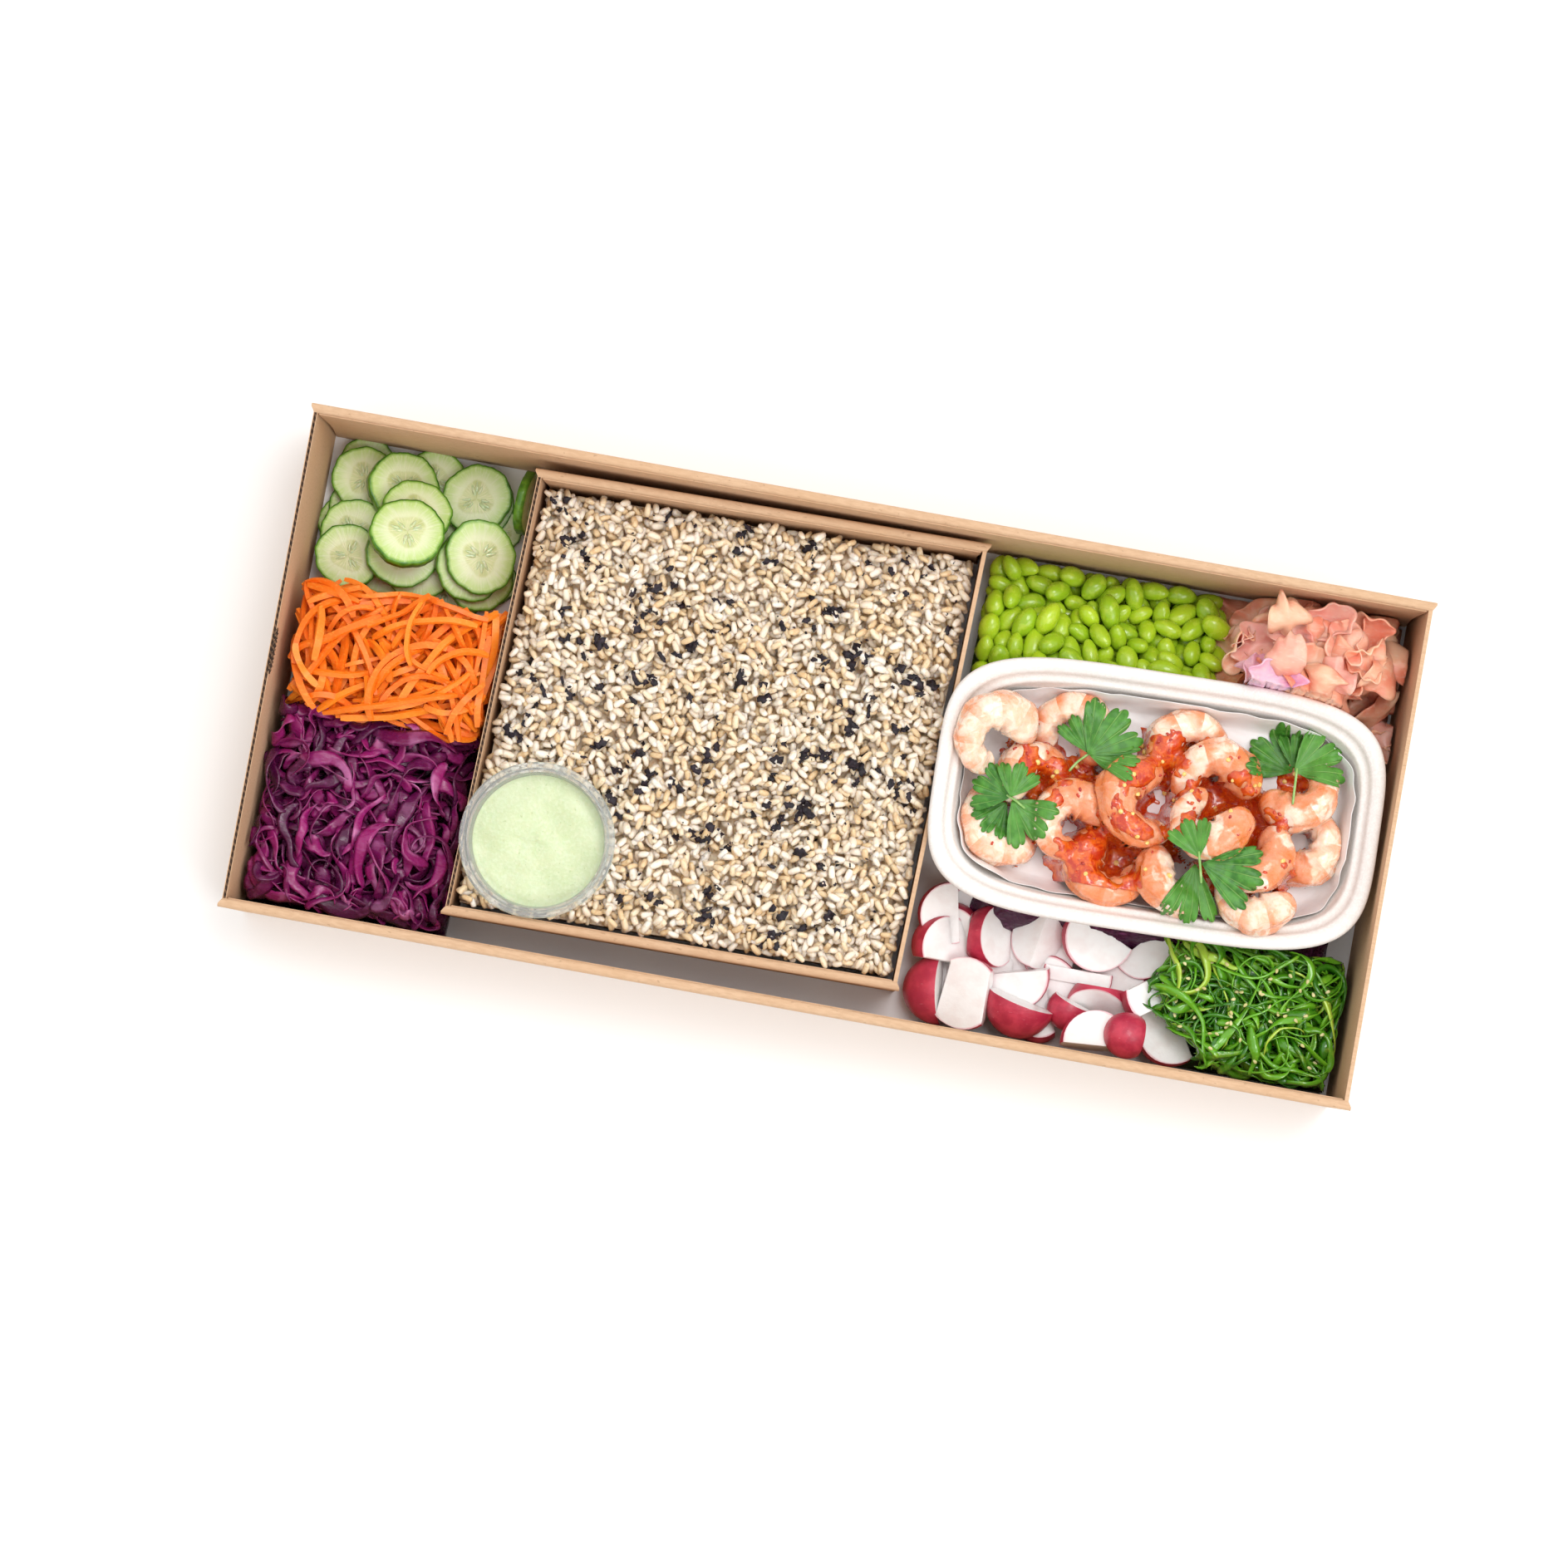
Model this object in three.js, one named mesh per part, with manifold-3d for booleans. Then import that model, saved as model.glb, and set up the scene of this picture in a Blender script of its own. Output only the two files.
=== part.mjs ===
// A catering poke box, ready to serve. A long tray of corrugated board holds a square tray of
// brown rice with a pot of dip, a moulded pulp tray of prawns on paper, and heaps of cucumber,
// carrot, red cabbage, edamame, pickled ginger, radish and seaweed salad around them.
//
// Millimetres. X runs along the long side, Y across it to the back, Z up from the table.
import * as THREE from 'three';
import { mergeVertices } from 'three/addons/utils/BufferGeometryUtils.js';
import Module from 'manifold-3d';

const wasm = await Module();
wasm.setup();

// ---------------------------------------------------------------- driving dimensions

const GAP = 0.5; // free space between pieces that lie against each other
const BOARD = 2; // corrugated board

// A board tray: rolled double walls along X, single boards at its ends.
const OUTER = { length: 558, width: 252, height: 80, roll: 4.8, foot: 5.2, lean: 0.6, endLean: 0.4, z: 0 };
const INNER = { length: 226, width: 226, height: 60, roll: 4.6, foot: 8, lean: 1, endLean: 1.2, z: BOARD + GAP };
// The square tray stands a little turned and pushed out of square.
const INNER_PLACE = { x: -56.6, y: 4.3, turn: 0.0106, rack: 0.0391 };

const RICE = { front: 49, back: 34, wallDrop: 6, halfLength: 108.2, halfWidth: 105.6, footHalfWidth: 104.2 };

const POT = { x: -133.9, y: -65.9, rim: 38.4, neck: 34.1, foot: 31, wall: 1, height: 42, z: 22, lip: 3.4 };
const DIP_LEVEL = 52;

// The pulp tray's outlines are squared-off ellipses.
const PULP = { x: 163.4, y: 6, turn: 0.025, halfLength: 110.4, halfWidth: 64.5, squareness: 4.2 };
const PULP_BASE = 36;
const PULP_FLOOR = 38;
const PULP_RIM = 66;
const PULP_SIDES = 24;
const PAPER = { thick: 0.6, edge: 55, wave: 3 };

// ---------------------------------------------------------------- solids and cuts

function bare(geometry) {
  const plain = geometry.index ? geometry.toNonIndexed() : geometry.clone();
  plain.deleteAttribute('normal');
  plain.deleteAttribute('uv');
  return mergeVertices(plain, 1e-4);
}

function solid(geometry) {
  const merged = bare(geometry);
  const vertProperties = new Float32Array(merged.attributes.position.array);
  const triVerts = new Uint32Array(merged.index.array);
  return new wasm.Manifold(new wasm.Mesh({ numProp: 3, vertProperties, triVerts }));
}

function surface(manifold) {
  const mesh = manifold.getMesh();
  const geometry = new THREE.BufferGeometry();
  geometry.setAttribute('position', new THREE.BufferAttribute(new Float32Array(mesh.vertProperties), 3));
  geometry.setIndex([...mesh.triVerts]);
  return geometry;
}

const joined = (geometries) => surface(geometries.map(solid).reduce((all, next) => all.add(next)));

const cut = (geometry, tools) =>
  surface(tools.map(solid).reduce((left, tool) => left.subtract(tool), solid(geometry)));

// Moves every vertex of a geometry to where place(x, y, z) says.
function shaped(geometry, place) {
  const merged = bare(geometry);
  const position = merged.attributes.position;
  for (let i = 0; i < position.count; i++) {
    position.setXYZ(i, ...place(position.getX(i), position.getY(i), position.getZ(i)));
  }
  return merged;
}

// Stands a shape drawn in (across, up) on edge and extrudes it along X or Y.
function wall(outline, along, length) {
  const across = along === 'x' ? new THREE.Vector3(0, 1, 0) : new THREE.Vector3(1, 0, 0);
  const up = new THREE.Vector3(0, 0, 1);
  const run = across.clone().cross(up);
  return new THREE.ExtrudeGeometry(new THREE.Shape(outline), { depth: length, bevelEnabled: false })
    .translate(0, 0, -length / 2)
    .applyMatrix4(new THREE.Matrix4().makeBasis(across, up, run));
}

// Turns a profile of [radius, height] pairs about Z.
const turned = (profile, sides) =>
  new THREE.LatheGeometry(profile.map(([r, z]) => new THREE.Vector2(r, z)), sides).rotateX(Math.PI / 2);

// A smooth unevenness between about -1 and 1, with hollows a few pitches apart.
function lumps(x, y, pitch, seed) {
  const waves = [0, 1, 2, 3].map((n) => {
    const way = seed + 2.4 * n;
    const run = (x * Math.cos(way) + y * Math.sin(way)) / pitch;
    return Math.sin(run * (1 + 0.37 * n) + 1.7 * seed + n);
  });
  return waves.reduce((sum, wave) => sum + wave) / 2.6;
}

const mix = (a, b, t) => a + (b - a) * t;
const clamp = (t) => Math.min(1, Math.max(0, t));
const smooth = (t) => clamp(t) ** 2 * (3 - 2 * clamp(t));

// ---------------------------------------------------------------- board trays

function boardTray({ length, width, height, roll, foot, lean, endLean, z }) {
  const bendRadius = roll / 2;
  const steps = [0, 1, 2, 3, 4];
  const rolledWall = (side) => {
    const crown = steps.map((step) => {
      const angle = (Math.PI * step) / 4;
      const across = width / 2 - bendRadius + bendRadius * Math.cos(angle);
      return new THREE.Vector2(side * across, height - bendRadius + bendRadius * Math.sin(angle));
    });
    const feet = [new THREE.Vector2(side * (width / 2 - foot), z), new THREE.Vector2(side * (width / 2 - lean), z)];
    return wall([...crown, ...feet], 'x', length);
  };
  const endBoard = (side) => {
    const edge = side * (length / 2 - 1);
    const across = [edge, edge - side * BOARD, edge - side * (BOARD + endLean), edge - side * endLean];
    const levels = [height - 1, height - 1, z, z];
    return wall(across.map((x, i) => new THREE.Vector2(x, levels[i])), 'y', width - roll);
  };
  const floor = new THREE.BoxGeometry(length - 2 * endLean - 4, width - 2 * lean - 2, BOARD);
  floor.translate(0, 0, z + BOARD / 2);
  return joined([floor, rolledWall(1), rolledWall(-1), endBoard(1), endBoard(-1)]);
}

// Puts what is modelled square and centred into the turned, racked square tray.
function inSquareTray(geometry) {
  const { x, y, turn, rack } = INNER_PLACE;
  const c = Math.cos(turn);
  const s = Math.sin(turn);
  return geometry.applyMatrix4(new THREE.Matrix4().set(c, rack - s, 0, x, s, c, 0, y, 0, 0, 1, 0, 0, 0, 0, 1));
}

const outerBox = boardTray(OUTER);
const innerBox = inSquareTray(boardTray(INNER));

// ---------------------------------------------------------------- pot of dip and rice

// The pot's outside, grown by a clearance, as a profile from its foot to its rim.
const potOutside = (clearance) => [
  [0, -clearance],
  [POT.foot + clearance, -clearance],
  [POT.neck + clearance, POT.height - POT.lip - clearance],
  [POT.rim + clearance, POT.height - POT.lip - clearance],
];

const potWallAt = (z) => mix(POT.foot, POT.neck, (z - POT.z) / (POT.height - POT.lip)) - POT.wall;

const potInside = [
  [POT.rim, POT.height - 0.8],
  [POT.rim - 0.9, POT.height],
  [POT.neck + 0.2, POT.height],
  [potWallAt(POT.z + POT.height - POT.lip), POT.height - POT.lip],
  [potWallAt(POT.z + POT.wall), POT.wall],
  [0, POT.wall],
];

const atPot = (geometry) => geometry.translate(POT.x, POT.y, POT.z);
const dipCup = atPot(turned([...potOutside(0), ...potInside], 28));

function dipFill() {
  const floor = POT.z + POT.wall + GAP;
  const edge = potWallAt(DIP_LEVEL) - GAP;
  const profile = [[0, floor], [potWallAt(floor) - GAP, floor], [edge, DIP_LEVEL], [edge * 0.6, DIP_LEVEL + 0.5]];
  const fill = turned([...profile, [0, DIP_LEVEL + 0.2]], 24);
  return fill.translate(POT.x, POT.y, 0);
}

// The rice is highest at the front and sinks towards the back and along the walls.
function riceTop(x, y) {
  const toBack = smooth((y + 20) / (2 * RICE.halfWidth));
  const nearWall = Math.max(smooth((Math.abs(x) - 88) / 20), smooth((y - 86) / 20));
  return mix(RICE.front, RICE.back, toBack) - RICE.wallDrop * nearWall + 1.3 * lumps(x, y, 9, 1);
}

function riceBlock() {
  const cells = 12;
  const block = shaped(new THREE.BoxGeometry(2, 2, 1, cells, cells, 1), (u, v, level) => {
    const x = u * RICE.halfLength;
    if (level < 0) return [x, v * RICE.footHalfWidth, INNER.z + BOARD + GAP];
    return [x, v * RICE.halfWidth, riceTop(x, v * RICE.halfWidth)];
  });
  const sealed = [...potOutside(GAP), [POT.rim + GAP, POT.height], [0, POT.height]];
  return cut(inSquareTray(block), [atPot(turned(sealed, 24))]);
}

// ---------------------------------------------------------------- pulp tray and its paper

// Turns a profile of [inset from the rim, height] pairs into a tray of squared-off outline.
function squaredTurn(profile, sides, lift = () => 0) {
  const { halfLength, halfWidth, squareness } = PULP;
  const deepest = Math.max(...profile.map(([inset]) => inset));
  const flat = turned([[0, 0], ...profile.map(([inset]) => [deepest + 1 - inset, 0]), [0, 0]], sides);
  const heights = [profile[0][1], ...profile.map(([, z]) => z), profile.at(-1)[1]];
  const position = flat.attributes.position;
  const power = 2 / squareness;
  const rounded = (t) => Math.sign(t) * Math.abs(t) ** power;
  for (let i = 0; i < position.count; i++) {
    const row = i % heights.length;
    const angle = (2 * Math.PI * (Math.floor(i / heights.length) % sides)) / sides;
    const onAxis = row === 0 || row === heights.length - 1;
    const inset = onAxis ? 0 : profile[row - 1][0];
    const reach = onAxis ? 0 : 1;
    const x = reach * (halfLength - inset) * rounded(Math.cos(angle));
    const y = reach * (halfWidth - inset) * rounded(Math.sin(angle));
    position.setXYZ(i, x, y, heights[row] + lift(angle, row));
  }
  return flat.rotateZ(PULP.turn).translate(PULP.x, PULP.y, 0);
}

const pulpOutside = [[16.5, PULP_BASE], [14.5, PULP_BASE + 1.5], [8.4, 58.6], [6.6, 61], [1.2, 60.8]];
const pulpInside = [[0, 62], [0, 64.6], [1.3, PULP_RIM], [6, PULP_RIM], [7.4, 64.4], [8.2, 61.4], [10.4, 59.4]];
const pulpWell = [[16.4, PULP_FLOOR + 2.6], [18.8, PULP_FLOOR]];
const pulpTray = squaredTurn([...pulpOutside, ...pulpInside, ...pulpWell], PULP_SIDES);

// Everything that the tray keeps other food out of, from its foot to its rim.
const pulpKeepOut = squaredTurn(
  [[16, PULP_BASE - GAP], [13.8, PULP_BASE + 1], [7.6, 58.4], [5.6, 60.2], [-GAP, 60.2], [-GAP, 68]],
  PULP_SIDES,
);

function trayPaper() {
  const outside = [[19.8, PULP_FLOOR + GAP], [17.6, PULP_FLOOR + 3.2], [13.8, PAPER.edge]];
  const inside = outside.slice(1).reverse().map(([inset, z]) => [inset + PAPER.thick, z]);
  const edgeRows = [3, 4];
  const wavy = (angle, row) => (edgeRows.includes(row) ? PAPER.wave * Math.sin(5 * angle + 1) : 0);
  const bottom = [20.4, PULP_FLOOR + GAP + PAPER.thick];
  return squaredTurn([...outside, ...inside, bottom], PULP_SIDES, wavy);
}

// ---------------------------------------------------------------- letting pieces settle

// The highest surface so far, on a grid of 1 mm cells, onto which pieces are let down.
class Relief {
  constructor([left, front], [right, back], floor) {
    this.left = left;
    this.front = front;
    this.columns = right - left + 1;
    this.rows = back - front + 1;
    this.top = new Float32Array(this.columns * this.rows).fill(floor);
  }

  // Calls visit(cell, lowest, highest) for each cell that a geometry covers.
  cover(geometry, visit) {
    const low = new Map();
    const high = new Map();
    const corners = [new THREE.Vector3(), new THREE.Vector3(), new THREE.Vector3()];
    const position = geometry.attributes.position;
    const index = geometry.index.array;
    for (let t = 0; t < index.length; t += 3) {
      corners.forEach((corner, i) => corner.fromBufferAttribute(position, index[t + i]));
      this.scan(corners, (cell, z) => {
        low.set(cell, Math.min(low.get(cell) ?? Infinity, z));
        high.set(cell, Math.max(high.get(cell) ?? -Infinity, z));
      });
    }
    low.forEach((z, cell) => visit(cell, z, high.get(cell)));
  }

  // Calls visit(cell, z) for each grid point under or over one triangle.
  scan([a, b, c], visit) {
    const area = (b.x - a.x) * (c.y - a.y) - (c.x - a.x) * (b.y - a.y);
    if (Math.abs(area) < 1e-9) return;
    const firstX = Math.max(Math.ceil(Math.min(a.x, b.x, c.x)), this.left);
    const lastX = Math.min(Math.floor(Math.max(a.x, b.x, c.x)), this.left + this.columns - 1);
    const firstY = Math.max(Math.ceil(Math.min(a.y, b.y, c.y)), this.front);
    const lastY = Math.min(Math.floor(Math.max(a.y, b.y, c.y)), this.front + this.rows - 1);
    for (let y = firstY; y <= lastY; y++) {
      for (let x = firstX; x <= lastX; x++) {
        const toB = ((x - a.x) * (c.y - a.y) - (c.x - a.x) * (y - a.y)) / area;
        const toC = ((b.x - a.x) * (y - a.y) - (x - a.x) * (b.y - a.y)) / area;
        if (toB < -1e-6 || toC < -1e-6 || toB + toC > 1 + 1e-6) continue;
        visit((y - this.front) * this.columns + x - this.left, a.z + toB * (b.z - a.z) + toC * (c.z - a.z));
      }
    }
  }

  add(geometry) {
    this.cover(geometry, (cell, low, high) => {
      this.top[cell] = Math.max(this.top[cell], high);
    });
  }

  // The highest surface in a cell and the eight around it.
  around(cell) {
    let highest = -Infinity;
    for (const row of [-this.columns, 0, this.columns]) {
      for (const column of [-1, 0, 1]) highest = Math.max(highest, this.top[cell + row + column] ?? -Infinity);
    }
    return highest;
  }

  // How far a geometry has to rise to lie on what is there.
  lift(geometry) {
    let rise = -Infinity;
    this.cover(geometry, (cell, low) => {
      rise = Math.max(rise, this.around(cell) - low);
    });
    return rise + GAP / 2;
  }
}

const TILTS = [-0.42, -0.28, -0.16, -0.08, 0, 0.08, 0.16, 0.28, 0.42];
const NUDGES = [-6, -4, -2, 0, 2, 4, 6];

// Lets a piece, centred on its own origin, down near (x, y). It leans the way that brings it
// lowest, and moves aside where that lowers it by more than nudgeCost for each millimetre.
function settle(relief, geometry, x, y, { tilts = TILTS, nudgeCost = 1 } = {}) {
  const upright = bare(geometry);
  const placed = ({ tiltX, tiltY, aside, back }) => upright.clone()
    .applyMatrix4(new THREE.Matrix4().makeRotationFromEuler(new THREE.Euler(tiltX, tiltY, 0)))
    .translate(x + aside, y + back, 0);
  let best = { tiltX: 0, tiltY: 0, aside: 0, back: 0, cost: Infinity };
  const tryEach = (firsts, seconds, vary) => {
    const from = best;
    for (const first of firsts) {
      for (const second of seconds) {
        const pose = { ...from, ...vary(first, second) };
        const lift = relief.lift(placed(pose));
        const cost = lift + nudgeCost * Math.hypot(pose.aside, pose.back);
        if (cost < best.cost) best = { ...pose, lift, cost };
      }
    }
  };
  tryEach(NUDGES, NUDGES, (aside, back) => ({ aside, back }));
  tryEach(tilts, tilts, (tiltX, tiltY) => ({ tiltX, tiltY }));
  tryEach(NUDGES, NUDGES, (aside, back) => ({ aside, back }));
  const settled = placed(best).translate(0, 0, best.lift);
  relief.add(settled);
  return settled;
}

// ---------------------------------------------------------------- heaps

// One solid over an uneven four-sided patch: edges holds its left, right, front and back lines,
// and top(x, y) its height, which falls away towards the edges.
function heap({ edges, cells, floor, top, slump = 0.16 }) {
  const { left, right, front, back } = edges;
  return shaped(new THREE.BoxGeometry(1, 1, 1, ...cells, 1), (across, along, level) => {
    const u = across + 0.5;
    const v = along + 0.5;
    const roughY = mix(front(0), back(0), v);
    const x = mix(left(roughY), right(roughY), u);
    const y = mix(front(x), back(x), v);
    const toEdge = Math.min(u, 1 - u, v, 1 - v);
    const crown = Math.sqrt(smooth(toEdge / slump));
    return [x, y, level < 0 ? floor : mix(mix(floor, top(x, y), 0.45), top(x, y), crown)];
  });
}

const FLOOR = BOARD + GAP; // what lies on the long tray's floor starts here
const innerLeft = (y) => INNER_PLACE.x - INNER.length / 2 + (INNER_PLACE.rack - INNER_PLACE.turn) * y - 1;
const innerRight = (y) => INNER_PLACE.x + INNER.length / 2 + (INNER_PLACE.rack - INNER_PLACE.turn) * y + 1.5;
const endWall = OUTER.length / 2 - BOARD - OUTER.endLean - 2;
const sideWall = OUTER.width / 2 - OUTER.foot - GAP;
const carrotFront = (x) => -17 - 0.03 * (x + 230) + 2 * Math.sin(x / 9);

const carrotHeap = heap({
  edges: {
    left: (y) => -endWall + 3 + 1.5 * Math.sin(y / 8),
    right: innerLeft,
    front: carrotFront,
    back: (x) => 40 + 2 * Math.sin(x / 7),
  },
  cells: [10, 7],
  floor: FLOOR,
  top: (x, y) => 34 + 3 * lumps(x, y, 8, 2),
});

const cabbageHeap = heap({
  edges: {
    left: (y) => -endWall + 1 + Math.sin(y / 6),
    right: (y) => innerLeft(y) - 1,
    front: () => -sideWall,
    back: (x) => carrotFront(x) - GAP,
  },
  cells: [10, 10],
  floor: FLOOR,
  top: (x, y) => 40 - 12 * smooth((x + 200) / 18) * smooth((60 - Math.abs(y + 70)) / 30) + 4 * lumps(x, y, 9, 3),
});

const beanEnd = (y) => 192 - 0.25 * (y - 70) + 2 * Math.sin(y / 5);

const edamameHeap = heap({
  edges: {
    left: (y) => innerRight(y) + 2,
    right: beanEnd,
    front: (x) => 48 + 2 * Math.sin(x / 9),
    back: (x) => sideWall - 4 + 3 * Math.sin(x / 11),
  },
  cells: [12, 6],
  floor: FLOOR,
  top: (x, y) => mix(34, 17, smooth((y - 62) / 52)) + 2.5 * lumps(x, y, 7, 4),
});

const gingerHeap = heap({
  edges: {
    left: (y) => beanEnd(y) + 4 * GAP,
    right: (y) => endWall - 1.5 + Math.sin(y / 7),
    front: (x) => 50 + 2 * Math.sin(x / 8),
    back: () => sideWall - 1,
  },
  cells: [9, 7],
  floor: FLOOR,
  top: (x, y) => 38 + 5 * lumps(x, y, 9, 5),
});

const seaweedHeap = heap({
  edges: {
    left: (y) => 184 + 4 * Math.sin(y / 6),
    right: () => endWall - 2,
    front: () => -sideWall + 1,
    back: (x) => -56 + 2 * Math.sin(x / 9),
  },
  cells: [9, 7],
  floor: FLOOR,
  top: (x, y) => 32 + 2.5 * lumps(x, y, 8, 6),
});

const cabbageBed = heap({
  edges: {
    left: () => 80,
    right: () => 262,
    front: (x) => -48 + 2 * Math.sin(x / 9),
    back: () => 46,
  },
  cells: [9, 4],
  floor: FLOOR,
  top: () => PULP_BASE - 2 * GAP,
  slump: 0.08,
});

// ---------------------------------------------------------------- cucumber slices

// A slice's rind is a little lobed, so its outline waves.
function cucumberSlice(radius, thick, lobes) {
  return shaped(new THREE.CylinderGeometry(1, 1, thick, 20, 1).rotateX(Math.PI / 2), (x, y, z) => {
    const angle = Math.atan2(y, x);
    const reach = radius * (1 + 0.022 * Math.sin(lobes * angle + radius));
    return [x * reach, y * reach, z];
  });
}

// Lowest first: middle of the slice, and its radius.
const SLICES = [
  [-257, 88, 16.5], [-257, 101, 17.6], [-198, 102, 18.8], [-238.4, 61.9, 18.6], [-222, 61, 17.6],
  [-191, 62.5, 18.6], [-257, 73.5, 17.2], [-257, 54, 17.4], [-237, 100.4, 19], [-230.5, 65.5, 18.8],
  [-199.5, 103, 18.6], [-195.5, 66.5, 18.8], [-226, 87, 18.4], [-193, 73, 19.3], [-228.3, 75, 19.6],
];
const SLICE_THICKNESS = [4.2, 4.6, 4, 4.4, 4.8];

function cucumber(relief) {
  const slices = SLICES.map(([x, y, radius], i) => {
    const thick = SLICE_THICKNESS[i % SLICE_THICKNESS.length];
    return settle(relief, cucumberSlice(radius, thick, 5 + (i % 3)), x, y);
  });
  // One slice stands on edge against the square tray.
  const standing = cucumberSlice(16.8, 4.4, 6).rotateY(Math.PI / 2 - 0.14).rotateZ(-0.05);
  return [...slices, settle(relief, standing, -173, 104.5, { tilts: [0] })];
}

// ---------------------------------------------------------------- radish chunks

const HALF_SPACE = 80;

// A half-space as a big box, whose near face lies a distance from the origin along a direction.
function beyond(direction, distance) {
  const way = new THREE.Vector3(...direction).normalize();
  const turn = new THREE.Quaternion().setFromUnitVectors(new THREE.Vector3(0, 0, 1), way);
  const centre = way.multiplyScalar(distance + HALF_SPACE / 2);
  return new THREE.BoxGeometry(HALF_SPACE, HALF_SPACE, HALF_SPACE)
    .applyQuaternion(turn)
    .translate(centre.x, centre.y, centre.z);
}

// A round radish of a given radius and length, less what lies beyond each cut.
function radishChunk(radius, long, cuts) {
  const whole = new THREE.SphereGeometry(radius, 11, 7).rotateX(Math.PI / 2).scale(1, long, 1);
  const chunk = cut(whole, cuts.map(([direction, share]) => beyond(direction, share * radius)));
  chunk.computeBoundingBox();
  const middle = chunk.boundingBox.getCenter(new THREE.Vector3());
  return chunk.translate(-middle.x, -middle.y, -middle.z);
}

// Each chunk's middle, radius, how much longer than wide it is, and its cuts: the direction that
// a cut face looks in, and its distance from the radish's middle as a share of the radius.
const CHUNKS = [
  [77, -72, 12.4, 1, [[[0, -0.5, 0.86], 0.3], [[-1, 0, 0.1], 0.7], [[1, 0, 0.1], 0.7]]],
  [95, -71.5, 14, 1, [[[0.85, 0, 0.5], 0.25], [[-1, 0, 0], 0.7]]],
  [115, -69, 13.5, 1, [[[0.5, -0.4, 0.8], 0.3], [[-0.7, -0.2, 0.6], 0.4]]],
  [142, -64, 16.2, 1.05, [[[0.05, 0, 1], 0.2], [[0.5, 1, 0], 0.2]]],
  [168, -63, 13, 1.15, [[[-0.1, 0.1, 1], 0.2], [[-0.7, 0.6, 0], 0.2]]],
  [140, -80, 16.2, 1, [[[0, 1, 0], 0.2], [[0, -1, 0], 0.2], [[0, 0, 1], 0.35], [[0, 0, -1], 0.5]]],
  [118, -89, 16.2, 1, [[[-0.1, -0.1, 1], 0.15], [[-0.3, 1, 0], 0.05]]],
  [68.5, -103, 15.7, 1.1, [[[1, 0.1, 0.1], 0.08], [[0, 0.2, -1], 0.5]]],
  [90, -100, 16.2, 1.05, [[[-0.2, 0.1, 1], 0.1], [[-1, 0.1, 0.1], 0.6], [[1, 0, 0], 0.66]]],
  [155, -92, 14, 1, [[[0, -0.75, 0.65], 0.2], [[0, 1, 0], 0.6]]],
  [115, -111, 15.7, 1, [[[0, 0.1, -1], 0.15], [[0.2, 1, 0], 0.1]]],
  [134, -101, 9.7, 1, [[[0, 0, -1], 0.2], [[0.3, 0.9, 0], 0.4]]],
  [148, -112, 15.1, 1, [[[0, 0, 1], 0.2], [[0.1, -1, 0], 0.05]]],
  [167, -111, 10.3, 1, [[[0, 0, -1], 0.2], [[1, 0, 0], 0.6]]],
  [185, -107, 15.1, 1.05, [[[0.1, 0.1, 1], 0.15], [[0.9, 0.5, 0], 0.35]]],
  [179, -83, 19.4, 1, [[[-0.6, 0.8, 0], 0.34], [[0.6, -0.8, 0], 0.34], [[0, 0, 1], 0.3], [[0, 0, -1], 0.45]]],
];

const radishes = (relief) => CHUNKS.map(([x, y, radius, long, cuts]) =>
  settle(relief, radishChunk(radius, long, cuts), x, y, { tilts: [-0.16, 0, 0.16], nudgeCost: 0.25 }));

// ---------------------------------------------------------------- prawns

const PRAWN = { curl: 12.2, sweep: 5, body: 10.4, tail: 6.4, fan: 8 };

// A peeled prawn, curled in its own plane with its gap towards +X, from thick end to tail fan.
function prawn(size) {
  const { curl, sweep, body, tail, fan } = PRAWN;
  return shaped(new THREE.SphereGeometry(1, 8, 11), (x, y, z) => {
    const along = Math.acos(THREE.MathUtils.clamp(-y, -1, 1)) / Math.PI;
    const around = Math.atan2(z, x);
    const blunt = Math.sqrt(Math.max(0, 1 - (2 * along - 1) ** 6));
    const girth = mix(body, tail, smooth(along * 1.15)) * blunt;
    const inFan = smooth((along - 0.82) / 0.12);
    const wide = mix(girth, fan * blunt, inFan);
    const thick = mix(girth * 0.95, 1.8 * blunt, inFan);
    const angle = Math.PI + sweep * (along - 0.5);
    const reach = curl + wide * Math.cos(around);
    return [size * reach * Math.cos(angle), size * reach * Math.sin(angle), size * thick * Math.sin(around)];
  });
}

// Lowest first: middle, way that the gap faces in degrees, size, and 1 or -1 for which side is up.
const PRAWNS = [
  [79, 25, -45, 1, 1], [88, -20, 20, 1.02, -1], [176, 35, -90, 0.95, -1], [219, -29, 45, 0.95, -1],
  [244, 0, 180, 0.92, 1], [146, -29, 60, 0.97, 1], [115, 33, -95, 0.95, 1], [232, 25, 150, 0.95, 1],
  [104, 6, -80, 0.92, -1], [180, -27, 95, 0.95, 1], [125, -11, -30, 0.97, 1], [190, 22, -60, 1, 1],
  [212, -9, 100, 0.95, -1], [190, 3, 60, 0.97, -1], [156, 4, 20, 1.08, 1],
];

const prawns = (relief) => PRAWNS.map(([x, y, gap, size, up]) => {
  const piece = prawn(size).rotateX(up > 0 ? 0 : Math.PI).rotateZ(THREE.MathUtils.degToRad(gap));
  return settle(relief, piece, x, y, { nudgeCost: 2 });
});

// ---------------------------------------------------------------- the whole box

const finish = (colour, roughness) => new THREE.MeshStandardMaterial({ color: colour, roughness, metalness: 0 });

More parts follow.
